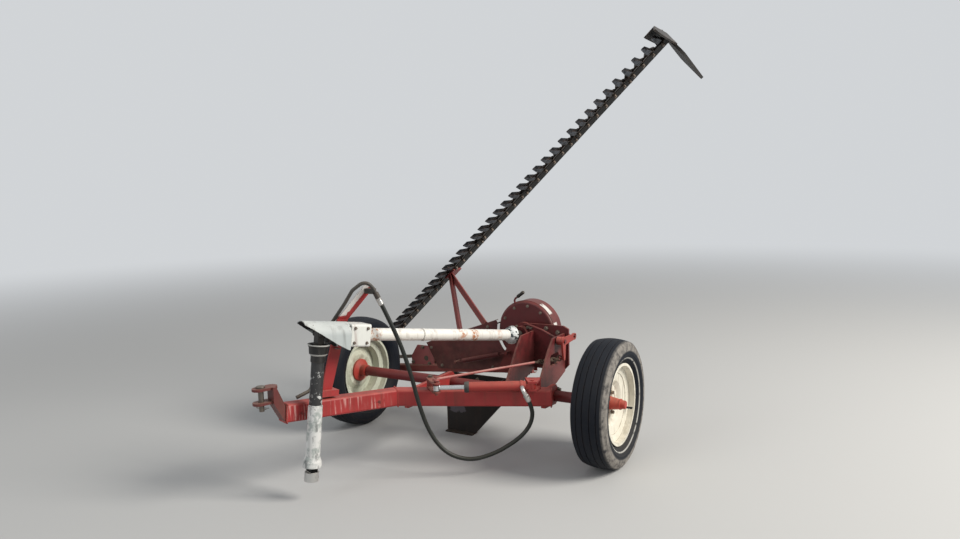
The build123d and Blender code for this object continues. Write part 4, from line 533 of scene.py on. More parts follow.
def arc_through(first, middle, last, count):
    """Points on the circle through three points, from the first to the last."""
    (ax, ay), (bx, by), (cx, cy) = first, middle, last
    d = 2 * (ax * (by - cy) + bx * (cy - ay) + cx * (ay - by))
    a, b, c = ax**2 + ay**2, bx**2 + by**2, cx**2 + cy**2
    ux = (a * (by - cy) + b * (cy - ay) + c * (ay - by)) / d
    uy = (a * (cx - bx) + b * (ax - cx) + c * (bx - ax)) / d
    radius = math.hypot(ax - ux, ay - uy)
    start, end = math.atan2(ay - uy, ax - ux), math.atan2(cy - uy, cx - ux)
    if end - start > math.pi:
        end -= 2 * math.pi
    if start - end > math.pi:
        end += 2 * math.pi
    turns = [start + (end - start) * i / count for i in range(count + 1)]
    return [(ux + radius * math.cos(turn), uy + radius * math.sin(turn)) for turn in turns]


# Raised ribs round the side, each (radius, half width, height), with closer points of its own
side_ribs = (
    (0.236, 0.0022, 0.0016), (0.266, 0.0018, 0.0010), (0.306, 0.0016, 0.0012), (0.313, 0.0016, 0.0012))
ribbed_side = arc_through(*outer_side, 18)
for middle, half_rib, proud in side_ribs:
    reach = 2.2 * half_rib
    ribbed_side = [(x, r) for x, r in ribbed_side if abs(r - middle) > reach]
    flank = [(x, r) for x, r in arc_through(*outer_side, 160) if abs(r - middle) < reach]
    ribbed_side += [
        (x + (proud if abs(r - middle) < half_rib else 0), r) for x, r in flank[:: max(1, len(flank) // 5)]]
ribbed_side.sort(key=lambda p: p[1])
# Tread in points of (across, drop, sway), where sway is 1 on the grooves, which zigzag
tread = [(x, 0, 0) for x in (-0.067, -0.0355, 0, 0.0355, 0.067)]
for centre in groove_centres:
    for side in (-1, 1):
        edge = centre + side * groove_half
        tread += [
            (edge + side * groove_lip, 0, 1), (edge, -groove_lip, 1),
            (edge - side * 0.0012, -groove_depth, 1)]
tread = [(x, tyre_radius - crown_drop * (x / crown_half) ** 2 + drop_by, sway)
         for x, drop_by, sway in sorted(tread)]
# One loop round the section: outer side up, over the tread, inner side down, then the inside
outer_bead, inner_bead = outer_side[0][0], inner_side[0][0]
inside = arc_through(*inner_side, 6)
section = [(outer_bead, bead_radius, 0)] + [(x, r, 0) for x, r in ribbed_side] + tread[::-1]
section += [(-x, r, 0) for x, r in reversed(ribbed_side)]
section += [(-outer_bead, bead_radius, 0), (-inner_bead, bead_radius, 0)]
section += [(-x, r, 0) for x, r in inside]
section += [(x, r, 0) for x, r in reversed(inside)] + [(inner_bead, bead_radius, 0)]


def axle_distance(finish):
    """How far each point of the surface lies from the axle's line."""
    _, y, z = parts(finish.place())
    return length(y=y, z=minus(z, tyre_radius))


tyre_black = weathered(
    "tyre_rubber_worn", (0.005, 0.008, 0.014), (0.014, 0.018, 0.027), (0.55, 0.25, 0.0, 0.05),
    under=(0.016, 0.016, 0.018), grain=1.6, gloss=0.50, relief=0.0004, mirror=0.12)
place, reach = tyre_black.place(), axle_distance(tyre_black)
scuff = noise(place, 34.0, 5.0, 0.65)
outside = maths("ABSOLUTE", parts(place)[0])
outside = maths("GREATER_THAN", outside, wheel_track + 0.070)
dusty = times(step(reach, 0.276, 0.288), step(reach, 0.336, 0.322), outside)
dusty = times(dusty, step(scuff, 0.22, 0.62), 0.8)
tyre_black.lay_over(dusty, (0.290, 0.268, 0.240), 0.9)
pale_line = times(near(reach, 0.2445, 0.0045, 0.0020), outside)
pale_line = times(pale_line, step(scuff, 0.30, 0.50), 0.85)
tyre_black.lay_over(pale_line, (0.42, 0.41, 0.38), 0.8)

left_cream = weathered(
    "cream_gloss", (0.68, 0.65, 0.55), (0.80, 0.78, 0.69), (0.8, 0.5, 0.16, 0.20), under=(0.10, 0.055, 0.03),
    grain=1.5, gloss=0.28, relief=0.0004)
# Painted shade: the right rim gets a darker, greener copy of the cream gloss, for the shade the far wheel
# stands in.
right_cream_shaded = weathered(
    "cream_gloss_shaded", (0.50, 0.53, 0.43), (0.64, 0.66, 0.55), (0.8, 0.5, 0.20, 0.22),
    under=(0.08, 0.06, 0.035), grain=1.4, gloss=0.30, relief=0.0004)
for cream in (left_cream, right_cream_shaded):
    place = cream.place()
    grime = step(noise(place, 8.0, 6.0, 0.7), 0.52, 0.72)
    by_the_hub = step(axle_distance(cream), 0.125, 0.070)
    by_the_hub = times(by_the_hub, step(noise(place, 26.0, 4.0), 0.42, 0.6), 0.55)
    cream.lay_over(times(grime, 0.30), (0.30, 0.26, 0.18))
    cream.lay_over(by_the_hub, (0.16, 0.085, 0.045), 0.8)
hub_red = weathered("hub_red", (0.340, 0.018, 0.014), (0.500, 0.050, 0.034), (0.6, 0.5, 0.18, 0.2))
left_cream.dress("left_rim")
right_cream_shaded.dress("right_rim")
hub_red.dress("left_hub", "right_hub")


def on_circle(centre, radius, degrees, across=(1, 0, 0), other=(0, 0, 1)):
    """Points on a circle, at angles that run from across towards other."""
    turns = [math.radians(angle) for angle in degrees]
    return [Vector(centre) + (Vector(across) * math.cos(turn) + Vector(other) * math.sin(turn)) * radius
            for turn in turns]


def skin(form, rings, around=True):
    """Adds the faces between neighbouring rings of points, and from the last to the first if around."""
    rings = [[form.verts.new(point) for point in ring] for ring in rings]
    for a, b in zip(rings, rings[1:] + rings[:1] if around else rings[1:]):
        for j in range(len(a)):
            k = (j + 1) % len(a)
            form.faces.new((a[j], b[j], b[k], a[k]))
    return rings


def lathe(form, centre, axis, profile, steps):
    """Adds a turned shape; profile is a closed loop of points (along the axis, radius)."""
    axis = Vector(axis).normalized()
    across = axis.orthogonal().normalized()
    ways = on_circle((0, 0, 0), 1, [360 * i / steps for i in range(steps)], across, axis.cross(across))
    skin(form, [[Vector(centre) + axis * a + way * r for a, r in profile] for way in ways])


def turned(name, body, finish, centre, axis, profile, steps):
    """A turned piece of its own."""
    form = bmesh.new()
    lathe(form, centre, axis, profile, steps)
    return finish_piece(form, name, body, finish)


valve_angle, valve_reach, nut_reach = 112, 0.168, 0.056
valve_profile = (
    (0, 0.0001), (0, 0.0085), (0.006, 0.0085), (0.010, 0.0060), (0.030, 0.0052), (0.030, 0.0062),
    (0.041, 0.0062), (0.042, 0.0001))
cap_profile = (
    (0, 0.0205), (0, 0.0285), (0.004, 0.0295), (0.008, 0.0285), (0.010, 0.0235), (0.026, 0.0222),
    (0.030, 0.0205))
for sign, hand in ((-1, "left"), (1, "right")):
    body, outward = f"{hand}_wheel", (sign, 0, 0)
    form = bmesh.new()
    rings = []
    for i in range(tread_steps):
        turn = 2 * math.pi * i / tread_steps
        sway = zigzag * (1 if i % 4 in (0, 1) else -1)
        rings.append([
            (sign * (wheel_track + x + sway * w), -r * math.sin(turn), tyre_radius + r * math.cos(turn))
            for x, r, w in section])
    skin(form, rings)
    tyre = finish_piece(form, f"{hand}_ribbed_tyre", body, tyre_black, smooth=40)
    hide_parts(f"{hand}_tyre")

    # Rubber valve stem through the rim's outer slope, and five wheel nuts round the hub
    rim_slope, hub_face = (sign * (wheel_track + reach) for reach in (0.031, 0.0042))
    valve_at = on_circle((rim_slope, 0, tyre_radius), valve_reach, [valve_angle], up, -forwards)[0]
    turned(f"{hand}_valve", body, tyre_black, valve_at, outward, valve_profile, 12)
    nut_ring = on_circle((hub_face, 0, tyre_radius), nut_reach, range(18, 360, 72), up, -forwards)
    bolts(f"{hand}_wheel_nuts", body, [(outward, 0.017, nut_ring)], head=0.8, washer_width=1.35)
    # Grease cap: a turned step with a rolled lip at the hub's outer end
    hub_end = (sign * (wheel_track + 0.058), 0, tyre_radius)
    turned(f"{hand}_grease_cap", body, hub_red, hub_end, outward, cap_profile, 36)

# Hitch: two flame-cut plates on a strap welded to the tongue, with a worn drawbar pin whose
# turned-down end holds a bent wire clip.
clevis_red = weathered("clevis_red", (0.095, 0.009, 0.012), (0.190, 0.030, 0.030), (0.5, 0.8, 0.45, 0.35))
worn_steel = weathered(
    "worn_dark_steel", (0.125, 0.108, 0.096), (0.21, 0.185, 0.165), (0.4, 0.1, 0.38, 0.32), grain=1.8,
    gloss=0.30, metal=0.75)
clevis_red.dress("hitch_clevis")
worn_steel.dress("hitch_pin")


def sweep(form, path, radius, sides):
    """Adds a round bar along a path, closed at both ends."""
    path = [Vector(p) for p in path]
    ahead = (path[1] - path[0]).normalized()
    across = ahead.orthogonal().normalized()
    rings = []
    for i, point in enumerate(path):
        before, after = path[max(i - 1, 0)], path[min(i + 1, len(path) - 1)]
        new_ahead = (after - before).normalized()
        across = (ahead.rotation_difference(new_ahead) @ across).normalized()
        ahead = new_ahead
        rings.append(
            on_circle(point, radius, [360 * k / sides for k in range(sides)], across, ahead.cross(across)))
    rings = skin(form, rings, around=False)
    form.faces.new(rings[0][::-1])
    form.faces.new(rings[-1])


def bars(name, body, finish, paths, radius, sides):
    """Round bars or wires as one piece."""
    form = bmesh.new()
    for path in paths:
        sweep(form, path, radius, sides)
    return finish_piece(form, name, body, finish, smooth=60)


hitch_low, hitch_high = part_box("hitch_pin")
pin_x, pin_y = (hitch_low[0] + hitch_high[0]) / 2, (hitch_low[1] + hitch_high[1]) / 2
clip_z = hitch_low[2] + 0.013
# The wire runs through the pin, round an open eye and back along the pin's side
clip_path = [(pin_x - 0.030, pin_y, clip_z), (pin_x + 0.024, pin_y, clip_z)]
clip_path += on_circle(
    (pin_x + 0.030, pin_y - 0.012, clip_z), 0.012, [90 - 18.6 * i for i in range(13)], other=forwards)
clip_path += [
    (pin_x + x, pin_y + y, clip_z) for x, y in ((0.008, -0.0165), (-0.012, -0.0150), (-0.026, -0.022))]
bars("hitch_pin_clip", "frame", bolt_steel, [clip_path], 0.0018, 8)

# Drive line: steel guard tube in off-white paint with rust rings where it was rubbed, a ball
# shield at the belt drive, and the bearing box with its pressed hood on a red post.
box_centre, ball_centre = Vector((0.187, 0.800, 0.778)), Vector((-0.158, -0.2145, 0.606))
tube_run = (ball_centre - box_centre).normalized()
guard_white = weathered(
    "guard_white", (0.74, 0.72, 0.66), (0.84, 0.83, 0.79), (0.8, 0.4, 0.10, 0.16), under=(0.15, 0.075, 0.04),
    grain=1.4, gloss=0.30)
along_tube = guard_white.along(box_centre, tube_run)
blotch = step(noise(guard_white.place(), 42.0, 5.0, 0.7), 0.44, 0.60)
rust_rings = (
    # from, to, strength
    (0.050, 0.150, 0.85), (0.640, 0.720, 0.80), (0.735, 0.800, 1.0), (0.930, 0.985, 0.45),
)
for start, end, strength in rust_rings:
    middle, half = (start + end) / 2, (end - start) / 2
    ring = near(along_tube, middle, half, half * 0.3)
    guard_white.lay_over(times(ring, blotch, strength), (0.42, 0.125, 0.015), 0.85)
seam = within(along_tube, 0.4059, 0.4091)
guard_white.lay_over(times(seam, 0.8), (0.05, 0.04, 0.035), 0.8)
ball_white = weathered(
    "ball_white", (0.62, 0.66, 0.64), (0.80, 0.82, 0.80), (0.8, 0.5, 0.80, 0.1), under=(0.030, 0.080, 0.100),
    grain=1.3)
box_white = weathered(
    "box_white", (0.66, 0.67, 0.63), (0.80, 0.81, 0.77), (0.7, 0.6, 0.26, 0.25), under=(0.16, 0.03, 0.03),
    grain=1.3)
hood_grey = weathered(
    "hood_grey", (0.40, 0.44, 0.44), (0.60, 0.63, 0.62), (0.9, 0.6, 0.34, 0.3), under=(0.03, 0.028, 0.027),
    grain=1.2, gloss=0.4)
# Painted shade: faces that look downwards, the hood's inside, are painted near black.
hood_grey.lay_over(step(hood_grey.facing(-up), 0.05, 0.35), (0.012, 0.011, 0.011), 0.8)
# The post's upper leg is primed pale on its front half
red_post = weathered("post_red", red_fresh, (0.52, 0.090, 0.085), (0.8, 0.6, 0.2, 0.2))
post_foot, post_knee = Vector((0.330, 0.885, 0.470)), Vector((0.266, 0.800, 0.850))
post_top = Vector((0.150, 0.722, 1.012))
post_heading = Vector((0.3219, 0.9468, 0))
place = red_post.place()
risen = maths("DIVIDE", minus(parts(place)[2], post_knee.z), post_top.z - post_knee.z)
post_middle = times(risen, (post_top - post_knee).dot(post_heading))
off_middle = minus(red_post.along(post_knee, post_heading), post_middle)
ragged = times(minus(noise(place, 40.0, 5.0, 0.65), 0.5), 0.030)
primed = times(step(plus(off_middle, ragged), -0.003, 0.003), step(risen, 0.08, 0.14))
red_post.lay_over(times(primed, 0.92), (0.70, 0.69, 0.66), 0.6)
dark_pipe = weathered("dark_pipe", (0.030, 0.028, 0.026), (0.07, 0.065, 0.06), (0.4, 0.3, 0.3, 0.3))
joint_black = weathered(
    "joint_black", (0.020, 0.018, 0.017), (0.045, 0.040, 0.037), (0.4, 0.4, 0.3, 0.12), gloss=0.34, metal=0.3)
guard_white.dress("pto_guard_tube")
ball_white.dress("pto_ball_shield")
box_white.dress("pto_bearing_box")
red_post.dress("pto_post")
dark_pipe.dress("lift_line")
joint_black.dress("pto_front_fork", "pto_cross", "pto_rear_joint")

# The hood's skirts are cut on a slope, from nothing at its front to full depth at the box
box_ahead = -tube_run
box_side = box_ahead.cross(up).normalized()
box_up = box_side.cross(box_ahead).normalized()
slope_foot = box_centre + box_ahead * 0.075 - box_up * 0.070
slope_head = box_centre + box_ahead * 0.301 + box_up * 0.046
slope_normal = -(slope_head - slope_foot).cross(box_side).normalized()
if slope_normal.dot(box_up) > 0:
    slope_normal = -slope_normal
form = bmesh.new()
form.from_mesh(nodes["pto_hood"].data)
bmesh.ops.remove_doubles(form, verts=form.verts, dist=1e-5)
bmesh.ops.bisect_plane(
    form, geom=form.verts[:] + form.edges[:] + form.faces[:], plane_co=slope_foot, plane_no=slope_normal,
    clear_outer=True, dist=1e-6)
bmesh.ops.holes_fill(form, edges=[edge for edge in form.edges if edge.is_boundary], sides=0)
cut_hood = finish_piece(form, "pto_hood_shell", "frame", hood_grey)
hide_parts("pto_hood")

# Screws in the corners of the bearing box's front and left side
box_half, corners = 0.056, [(a, b) for a in (-1, 1) for b in (-1, 1)]
front_screws = [box_centre + box_ahead * box_half + (box_side * a + box_up * b) * 0.040 for a, b in corners]
side_screws = [box_centre - box_side * box_half + (box_ahead * a + box_up * b) * 0.036 for a, b in corners]
bolts("bearing_box_screws", "frame", [(box_ahead, 0.011, front_screws), (-box_side, 0.011, side_screws)])

# Two spring clips on the post's lower leg, for the hose when the machine is unhitched
clip_loops = []
for share in (0.62, 0.80):
    clip_centre = post_foot + (post_knee - post_foot) * share - box_side * 0.019
    clip_loops.append(
        on_circle(clip_centre, 0.013, [300 * i / 14 - 60 for i in range(15)], box_side, box_ahead))
bars("post_hose_clips", "frame", bolt_steel, clip_loops, 0.0022, 8)

# Half shaft that hangs from the front joint: a black plastic bell with pale rings, a dark and
# a worn white guard tube, and the bright splined yoke for the tractor's stub.
joint_pivot, shaft_foot = Vector((0.25057, 0.98696, 0.80969)), Vector((0.283, 1.060, 0.100))
shaft_run = (shaft_foot - joint_pivot).normalized()
bell_black = weathered(
    "bell_black", (0.008, 0.008, 0.008), (0.022, 0.022, 0.022), (0.5, 0.5, 0.1, 0.06),
    under=(0.11, 0.10, 0.09), gloss=0.4)
for start, end in ((0.047, 0.0545), (0.094, 0.103)):
    ring = within(bell_black.along(joint_pivot, shaft_run), start, end)
    bell_black.lay_over(times(ring, 0.75), (0.50, 0.49, 0.46), 0.6)
half_white = weathered(
    "half_guard_white", (0.62, 0.62, 0.60), (0.78, 0.79, 0.78), (0.7, 0.6, 0.40, 0.12),
    under=(0.055, 0.055, 0.055), grain=1.2, gloss=0.35)
place, run = half_white.place(), half_white.along(joint_pivot, shaft_run)
upper = maths("LESS_THAN", run, 0.342)
rubbed = plus(noise(place, 26.0, 5.0, 0.7), times(run, 0.5))
still_dark = minus(0.97, times(step(rubbed, 0.66, 0.74), 0.85))
half_white.lay_over(times(upper, still_dark), (0.012, 0.012, 0.013), 0.5)
mottled = step(noise(place, 24.0, 6.0, 0.7), 0.46, 0.62)
mottled = times(mottled, minus(1.0, upper), 0.75)
half_white.lay_over(mottled, (0.26, 0.30, 0.28), 0.6)
scraped = noise(stretched(place, (38.0, 38.0, 9.0)), 1.0, 5.0, 0.7)
half_white.lay_over(times(step(scraped, 0.54, 0.60), 0.55), (0.050, 0.050, 0.052), 0.6)
bright_steel = weathered(
    "bright_steel", (0.50, 0.49, 0.47), (0.62, 0.61, 0.60), (0.5, 0.2, 0.2, 0.12), under=(0.12, 0.09, 0.07),
    gloss=0.24, metal=0.9)
end_steel = weathered(
    "end_yoke_steel", (0.52, 0.52, 0.51), (0.64, 0.64, 0.63), (0.5, 0.5, 0.50, 0.2),
    under=(0.03, 0.025, 0.02), gloss=0.26, metal=0.8)
end_steel.lay_over(
    maths("LESS_THAN", end_steel.along(joint_pivot, shaft_run), 0.668), (0.010, 0.010, 0.010), 0.5)
bell_black.dress("pto_bell")
half_white.dress("pto_half_guard")
end_steel.dress("pto_end_yoke")
# Grease nipple on the hanging fork
side_out = shaft_run.cross(Vector((0.9468, -0.3219, 0))).normalized()
nipple_foot = joint_pivot + shaft_run * 0.064 + side_out * 0.023
nipple_profile = (
    (0, 0.0001), (0, 0.0042), (0.004, 0.0042), (0.005, 0.0026), (0.009, 0.0030), (0.011, 0.0001))
turned("cross_grease_nipple", "half_shaft", bright_steel, nipple_foot, side_out,
       nipple_profile, 10)

# Belt drive: a round pressed cover in dark red with a broken white stripe on its rim, a
# welded stand, and cast pulleys with three rubber belts.
drive_x, drive_z, cover_radius = -0.170, 0.600, 0.186
cover_front, stand_front = -0.366, -0.320
cover_red = weathered(
    "cover_red", (0.085, 0.005, 0.009), (0.190, 0.018, 0.024), (0.6, 0.5, 0.22, 0.25), gloss=0.30)
place = cover_red.place()
x, y, z = parts(place)
over_x, over_z = minus(x, drive_x), minus(z, drive_z)
around = maths("ARCTAN2", over_z, times(over_x, -1.0))
on_rim = maths("GREATER_THAN", length(over_x, 0.0, over_z), 0.1825)
on_rim = times(on_rim, within(y, -0.432, -0.388))
broken = step(noise(place, 30.0, 5.0, 0.65), 0.34, 0.42)
for start, end in ((0.62, 1.12), (0.10, 0.34), (-0.20, -0.04)):
    half = (end - start) / 2
    painted = times(near(around, (start + end) / 2, half, half - 0.03), on_rim, broken)
    cover_red.lay_over(painted, (0.66, 0.64, 0.60), 0.5)
stand_red = weathered("stand_red", (0.105, 0.005, 0.010), (0.220, 0.020, 0.026), (0.6, 0.6, 0.25, 0.3))
sheet_red = weathered(
    "sheet_guard_red", (0.085, 0.006, 0.010), (0.190, 0.024, 0.030), (0.7, 0.5, 0.25, 0.35), grain=1.2)
cast_iron = weathered(
    "cast_pulley", (0.060, 0.052, 0.046), (0.11, 0.095, 0.085), (0.4, 0.3, 0.5, 0.35), grain=2.0, gloss=0.4,
    metal=0.4)
belt_black = weathered(
    "belt_rubber_worn", (0.016, 0.015, 0.015), (0.045, 0.043, 0.041), (0.5, 0.4, 0.05, 0.3),
    under=(0.06, 0.05, 0.04), grain=2.0, gloss=0.55)
for greasy, spread in ((stand_red, 0.60), (sheet_red, 0.55), (cover_red, 0.30)):
    grease = step(noise(greasy.place(), 7.0, 6.0, 0.68), 0.44, 0.66)
    greasy.lay_over(times(grease, spread), (0.022, 0.008, 0.008), 0.45)
cover_red.dress("drive_cover")
stand_red.dress("drive_stand")
sheet_red.dress("sheet_guard")
cast_iron.dress("drive_pulley", "lower_pulley")
belt_black.dress("belts")

# Rolled bead round the cover's front edge, left out where the belts leave, and bolts on its face
bead_wire = 0.0035
bead_ring = on_circle((0.016, cover_radius + 0.0005, 0), bead_wire, range(0, 360, 45), other=forwards)
bead_profile = [(along, radius) for along, radius, _ in bead_ring]
form = bmesh.new()
lathe(form, (drive_x, cover_front, drive_z), -forwards, bead_profile, 96)
middles = [(face, face.calc_center_median()) for face in form.faces]
way_out = [face for face, middle in middles if middle.x > drive_x + 0.02 and middle.z < drive_z + 0.06]
bmesh.ops.delete(form, geom=way_out, context="FACES")
bmesh.ops.holes_fill(form, edges=[edge for edge in form.edges if edge.is_boundary], sides=8)
finish_piece(form, "cover_rolled_edge", "frame", cover_red, smooth=60)
bolts("cover_bolts", "frame", [
    (forwards, 0.013, on_circle((drive_x, cover_front, drive_z), 0.158, (28, 62, 96, 130, 164)))])

# Bolts through the stand's front plate and round the bearing tube
stand_places = (
    (-0.405, 0.622), (-0.330, 0.640), (-0.395, 0.440), (-0.300, 0.432), (-0.230, 0.640), (-0.405, 0.530))
bolts("stand_bolts", "frame", [(forwards, 0.019, [(x, stand_front, z) for x, z in stand_places])])
bolts("bearing_flange_bolts", "frame", [
    (forwards, 0.013, on_circle((drive_x, stand_front, drive_z), 0.053, range(45, 360, 90)))])

# Round brace from the stand's middle to its left edge, and the belt tensioner's lever with its grip
brace_path = (
    (-0.196, -0.306, 0.652), (-0.215, -0.300, 0.660), (-0.330, -0.262, 0.640), (-0.436, -0.214, 0.612),
    (-0.444, -0.206, 0.606))
bars("stand_brace", "frame", stand_red, [brace_path], 0.007, 12)
lever_path = (
    (-0.100, -0.372, 0.768), (-0.094, -0.372, 0.785), (-0.104, -0.366, 0.800), (-0.130, -0.360, 0.818))
bars("tensioner_lever", "frame", stand_red, [lever_path], 0.006, 12)
grip_foot, grip_run = (-0.122, -0.3615, 0.8125), (-0.026, 0.006, 0.018)
grip_profile = (
    (0, 0.0001), (0, 0.009), (0.004, 0.0112), (0.030, 0.0100), (0.052, 0.0112), (0.058, 0.0085),
    (0.060, 0.0001))
turned("tensioner_grip", "frame", belt_black, grip_foot, grip_run, grip_profile, 18)

# Carrier: square arm tube out to the fold pin, with its float spring of coiled wire, the
# angle-iron rest, the yoke and the plate that bears the lower pulley.
arm_red = weathered("carrier_red", (0.150, 0.008, 0.013), (0.280, 0.034, 0.038), (0.7, 0.6, 0.25, 0.32))
pale_plate = weathered(
    "bearing_plate_pink", (0.270, 0.050, 0.060), (0.420, 0.130, 0.135), (0.8, 0.6, 0.25, 0.3))
spring_red = weathered(
    "spring_red", (0.110, 0.010, 0.014), (0.200, 0.040, 0.042), (0.5, 0.0, 0.45, 0.15),
    under=(0.05, 0.03, 0.022), grain=3.0, gloss=0.34)
arm_red.dress("carrier_arm", "fold_yoke", "bar_rest")
pale_plate.dress("pulley_bearing")
worn_steel.dress("fold_pins", "pitman")

spring_left, spring_right = Vector((-0.070, -0.300, 0.470)), Vector((0.304, -0.300, 0.374))
spring_length = (spring_right - spring_left).length
spring_run = (spring_right - spring_left).normalized()
spring_across = spring_run.cross(forwards).normalized()
spring_other = spring_run.cross(spring_across)
coil_radius, wire_radius, coil_turns, turn_steps = 0.0132, 0.0028, 40, 14
coil_start, coil_end = 0.050, spring_length - 0.060
coil = []
for i in range(coil_turns * turn_steps + 1):
    centre = spring_left + spring_run * (coil_start + (coil_end - coil_start) * i / (coil_turns * turn_steps))
    coil += on_circle(centre, coil_radius, [360 * i / turn_steps], spring_across, spring_other)
form = bmesh.new()
sweep(form, coil, wire_radius, 7)
# A plain hook at each end, closed round its stud, and a shank to the coil
hook_radius = 0.0112
for stud, inward, coil_edge in (
        (spring_left, spring_run, coil_start), (spring_right, -spring_run, spring_length - coil_end)):
    hook = on_circle(stud, hook_radius, range(20, 341, 20), inward, spring_across)
    sweep(form, hook, wire_radius, 8)
    sweep(form, [stud + inward * reach for reach in (hook_radius, 0.030, coil_edge + 0.004)], wire_radius, 8)
coiled_spring = finish_piece(form, "float_spring_coil", "carrier", spring_red, smooth=70)
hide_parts("float_spring")

bearing_face, sheet_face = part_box("pulley_bearing")[1][1], -0.356
bearing_places = ((0.560, 0.322), (0.610, 0.428), (0.690, 0.322))
sheet_places = ((0.060, 0.356), (0.440, 0.330), (0.520, 0.440), (0.090, 0.612), (0.300, 0.540))
bolts(
    "bearing_plate_bolts", "carrier", [(forwards, 0.017, [(x, bearing_face, z) for x, z in bearing_places])])
bolts("sheet_guard_bolts", "carrier", [(forwards, 0.013, [(x, sheet_face, z) for x, z in sheet_places])])
welds("rest_welds", "carrier", arm_red, [
    ((x, -0.398, z), (x, -0.366, z)) for x, z in ((0.302, 0.566), (0.118, 0.631))], width=0.006)

# Cutter bar: flat steel bar, malleable guards bolted under it and a riveted knife, black with
# old paint and grease; the bar's and guards' near black is partly painted shade. Rubbed guard
# tops and knife edges show pale steel.
# Painted shade in part: the bar and guards are near black with little wear and dust showing, darker than
# their own black, for the shade they lie in.
bar_black_shaded = weathered(
    "bar_black_shaded", (0.005, 0.005, 0.005), (0.013, 0.011, 0.010), (0.4, 0.5, 0.22, 0.02),
    under=(0.032, 0.019, 0.013), grain=1.4, gloss=0.34, mirror=0.07)
guard_black_shaded = weathered(
    "guard_black_shaded", (0.005, 0.005, 0.006), (0.011, 0.011, 0.012), (0.4, 0.8, 0.08, 0.01),
    under=(0.08, 0.08, 0.085), grain=1.6, edge_size=0.005, gloss=0.30, mirror=0.08)
knife_steel = weathered(
    "knife_steel", (0.020, 0.019, 0.018), (0.045, 0.042, 0.040), (0.4, 0.6, 0.40, 0.03),
    under=(0.045, 0.024, 0.015), grain=2.2, gloss=0.28, metal=0.6)
shoe_black = weathered(
    "shoe_black", (0.010, 0.009, 0.009), (0.028, 0.025, 0.024), (0.5, 1.0, 0.26, 0.08),
    under=(0.16, 0.12, 0.10), grain=1.3, gloss=0.34)
fold_turn = math.radians(137)
fold_pin = Vector((1.155, 0, 0.272))
bar_outward = Vector((math.cos(fold_turn), 0, math.sin(fold_turn)))
bar_upward = Vector((-math.sin(fold_turn), 0, math.cos(fold_turn)))
guard_pitch, guard_count, first_guard = 0.0762, 36, 0.219
bar_front, bar_top, bar_bottom, knife_top = -0.550, -0.010, -0.022, -0.0177
clip_count, clip_every = 6, 6


def on_bar(pitches, shift, y, above):
    """A point that many guards out along the bar, with a shift outwards, and up as it mows."""
    out = first_guard + guard_pitch * pitches + shift
    return fold_pin + bar_outward * out + forwards * y + bar_upward * above


# The prongs' upper lips are rubbed pale by the crop
place = guard_black_shaded.place()
lip = step(guard_black_shaded.facing(bar_upward), 0.75, 0.97)
on_prong = step(parts(place)[1], bar_front + 0.010, bar_front + 0.045)
rubbed = times(lip, on_prong, step(noise(place, 55.0, 4.0, 0.6), 0.34, 0.58), 0.55)
guard_black_shaded.lay_over(rubbed, (0.110, 0.125, 0.150), 0.35)
bar_black_shaded.dress("bar_back", "knife_clips")
guard_black_shaded.dress("guards")
knife_steel.dress("knife")
shoe_black.dress("inner_shoe", "outer_shoe")

# Nuts on the bar's top and on the knife's clips, bolt heads under the guards, rivets on the knife
guard_nuts = [on_bar(i, 0, bar_front - 0.020, bar_top) for i in range(guard_count)]
clip_nuts = [on_bar(clip_every * i + 1.5, 0, bar_front - 0.030, bar_top + 0.007) for i in range(clip_count)]
bolts("guard_bolt_nuts", "bar", [(bar_upward, 0.017, guard_nuts), (bar_upward, 0.014, clip_nuts)], head=0.7,
      washer_width=1.3)
bolt_heads = [on_bar(i, 0, bar_front - 0.020, bar_bottom - 0.0115) for i in range(guard_count)]
bolts("guard_bolt_heads", "bar", [(-bar_upward, 0.013, bolt_heads)], head=0.35, washer_width=1.2)
rivets = [on_bar(i, shift, bar_front + 0.015, knife_top + 0.006)
          for i in range(guard_count - 1) for shift in (-0.019, 0.019)]
bolts("knife_rivets", "knife", [(bar_upward, 0.0075, rivets)], head=0.3, washer_width=1.1, finish=knife_steel)

# Swath board: a dark stained plank, weathered along its grain
board = Finish("board_wood_grain")
place = board.place()
fibres = noise(stretched(place, (90.0, 3.0, 90.0), (0, math.radians(43), 0)), 1.0, 6.0, 0.62)
stains = times(step(noise(place, 7.0, 4.0, 0.6), 0.5, 0.75), 0.5)
plank = blend(step(fibres, 0.34, 0.66), (0.009, 0.008, 0.007, 1), (0.034, 0.028, 0.024, 1))
board.show(node("BsdfPrincipled", {
    "Base Color": blend(stains, plank, (0.060, 0.052, 0.045, 1)),
    "Roughness": plus(times(fibres, 0.2), 0.62),
    "Normal": node("Bump", {"Strength": 0.7, "Distance": 0.0012, "Height": fibres}),
}))
board.dress("swath_board")

# Lift: hydraulic cylinder in glossy red with a black gland and a plated rod, a lever at the
# beam's bend, a thin pull rod and a chain to the cast rocker on the stand.
cylinder_red = weathered(
    "cylinder_red", (0.240, 0.008, 0.009), (0.400, 0.046, 0.038), (0.8, 0.5, 0.18, 0.18), gloss=0.26)
casting_red = weathered(
    "casting_red", (0.230, 0.013, 0.012), (0.460, 0.072, 0.058), (0.8, 0.6, 0.28, 0.25), grain=1.4,
    relief=0.0012)
lever_red = weathered("lever_red", (0.160, 0.009, 0.012), (0.320, 0.050, 0.048), (0.6, 0.8, 0.35, 0.35))
plated = weathered(
    "plated_rod_bright", (0.62, 0.63, 0.64), (0.70, 0.71, 0.72), (0.3, 0.0, 0.05, 0.10),
    under=(0.10, 0.07, 0.05), gloss=0.14, metal=0.95, relief=0.0002)
rod_paint = weathered(
    "pull_rod_paint", (0.330, 0.060, 0.060), (0.52, 0.24, 0.22), (0.7, 0.3, 0.35, 0.25),
    under=(0.10, 0.075, 0.06), grain=2.0)
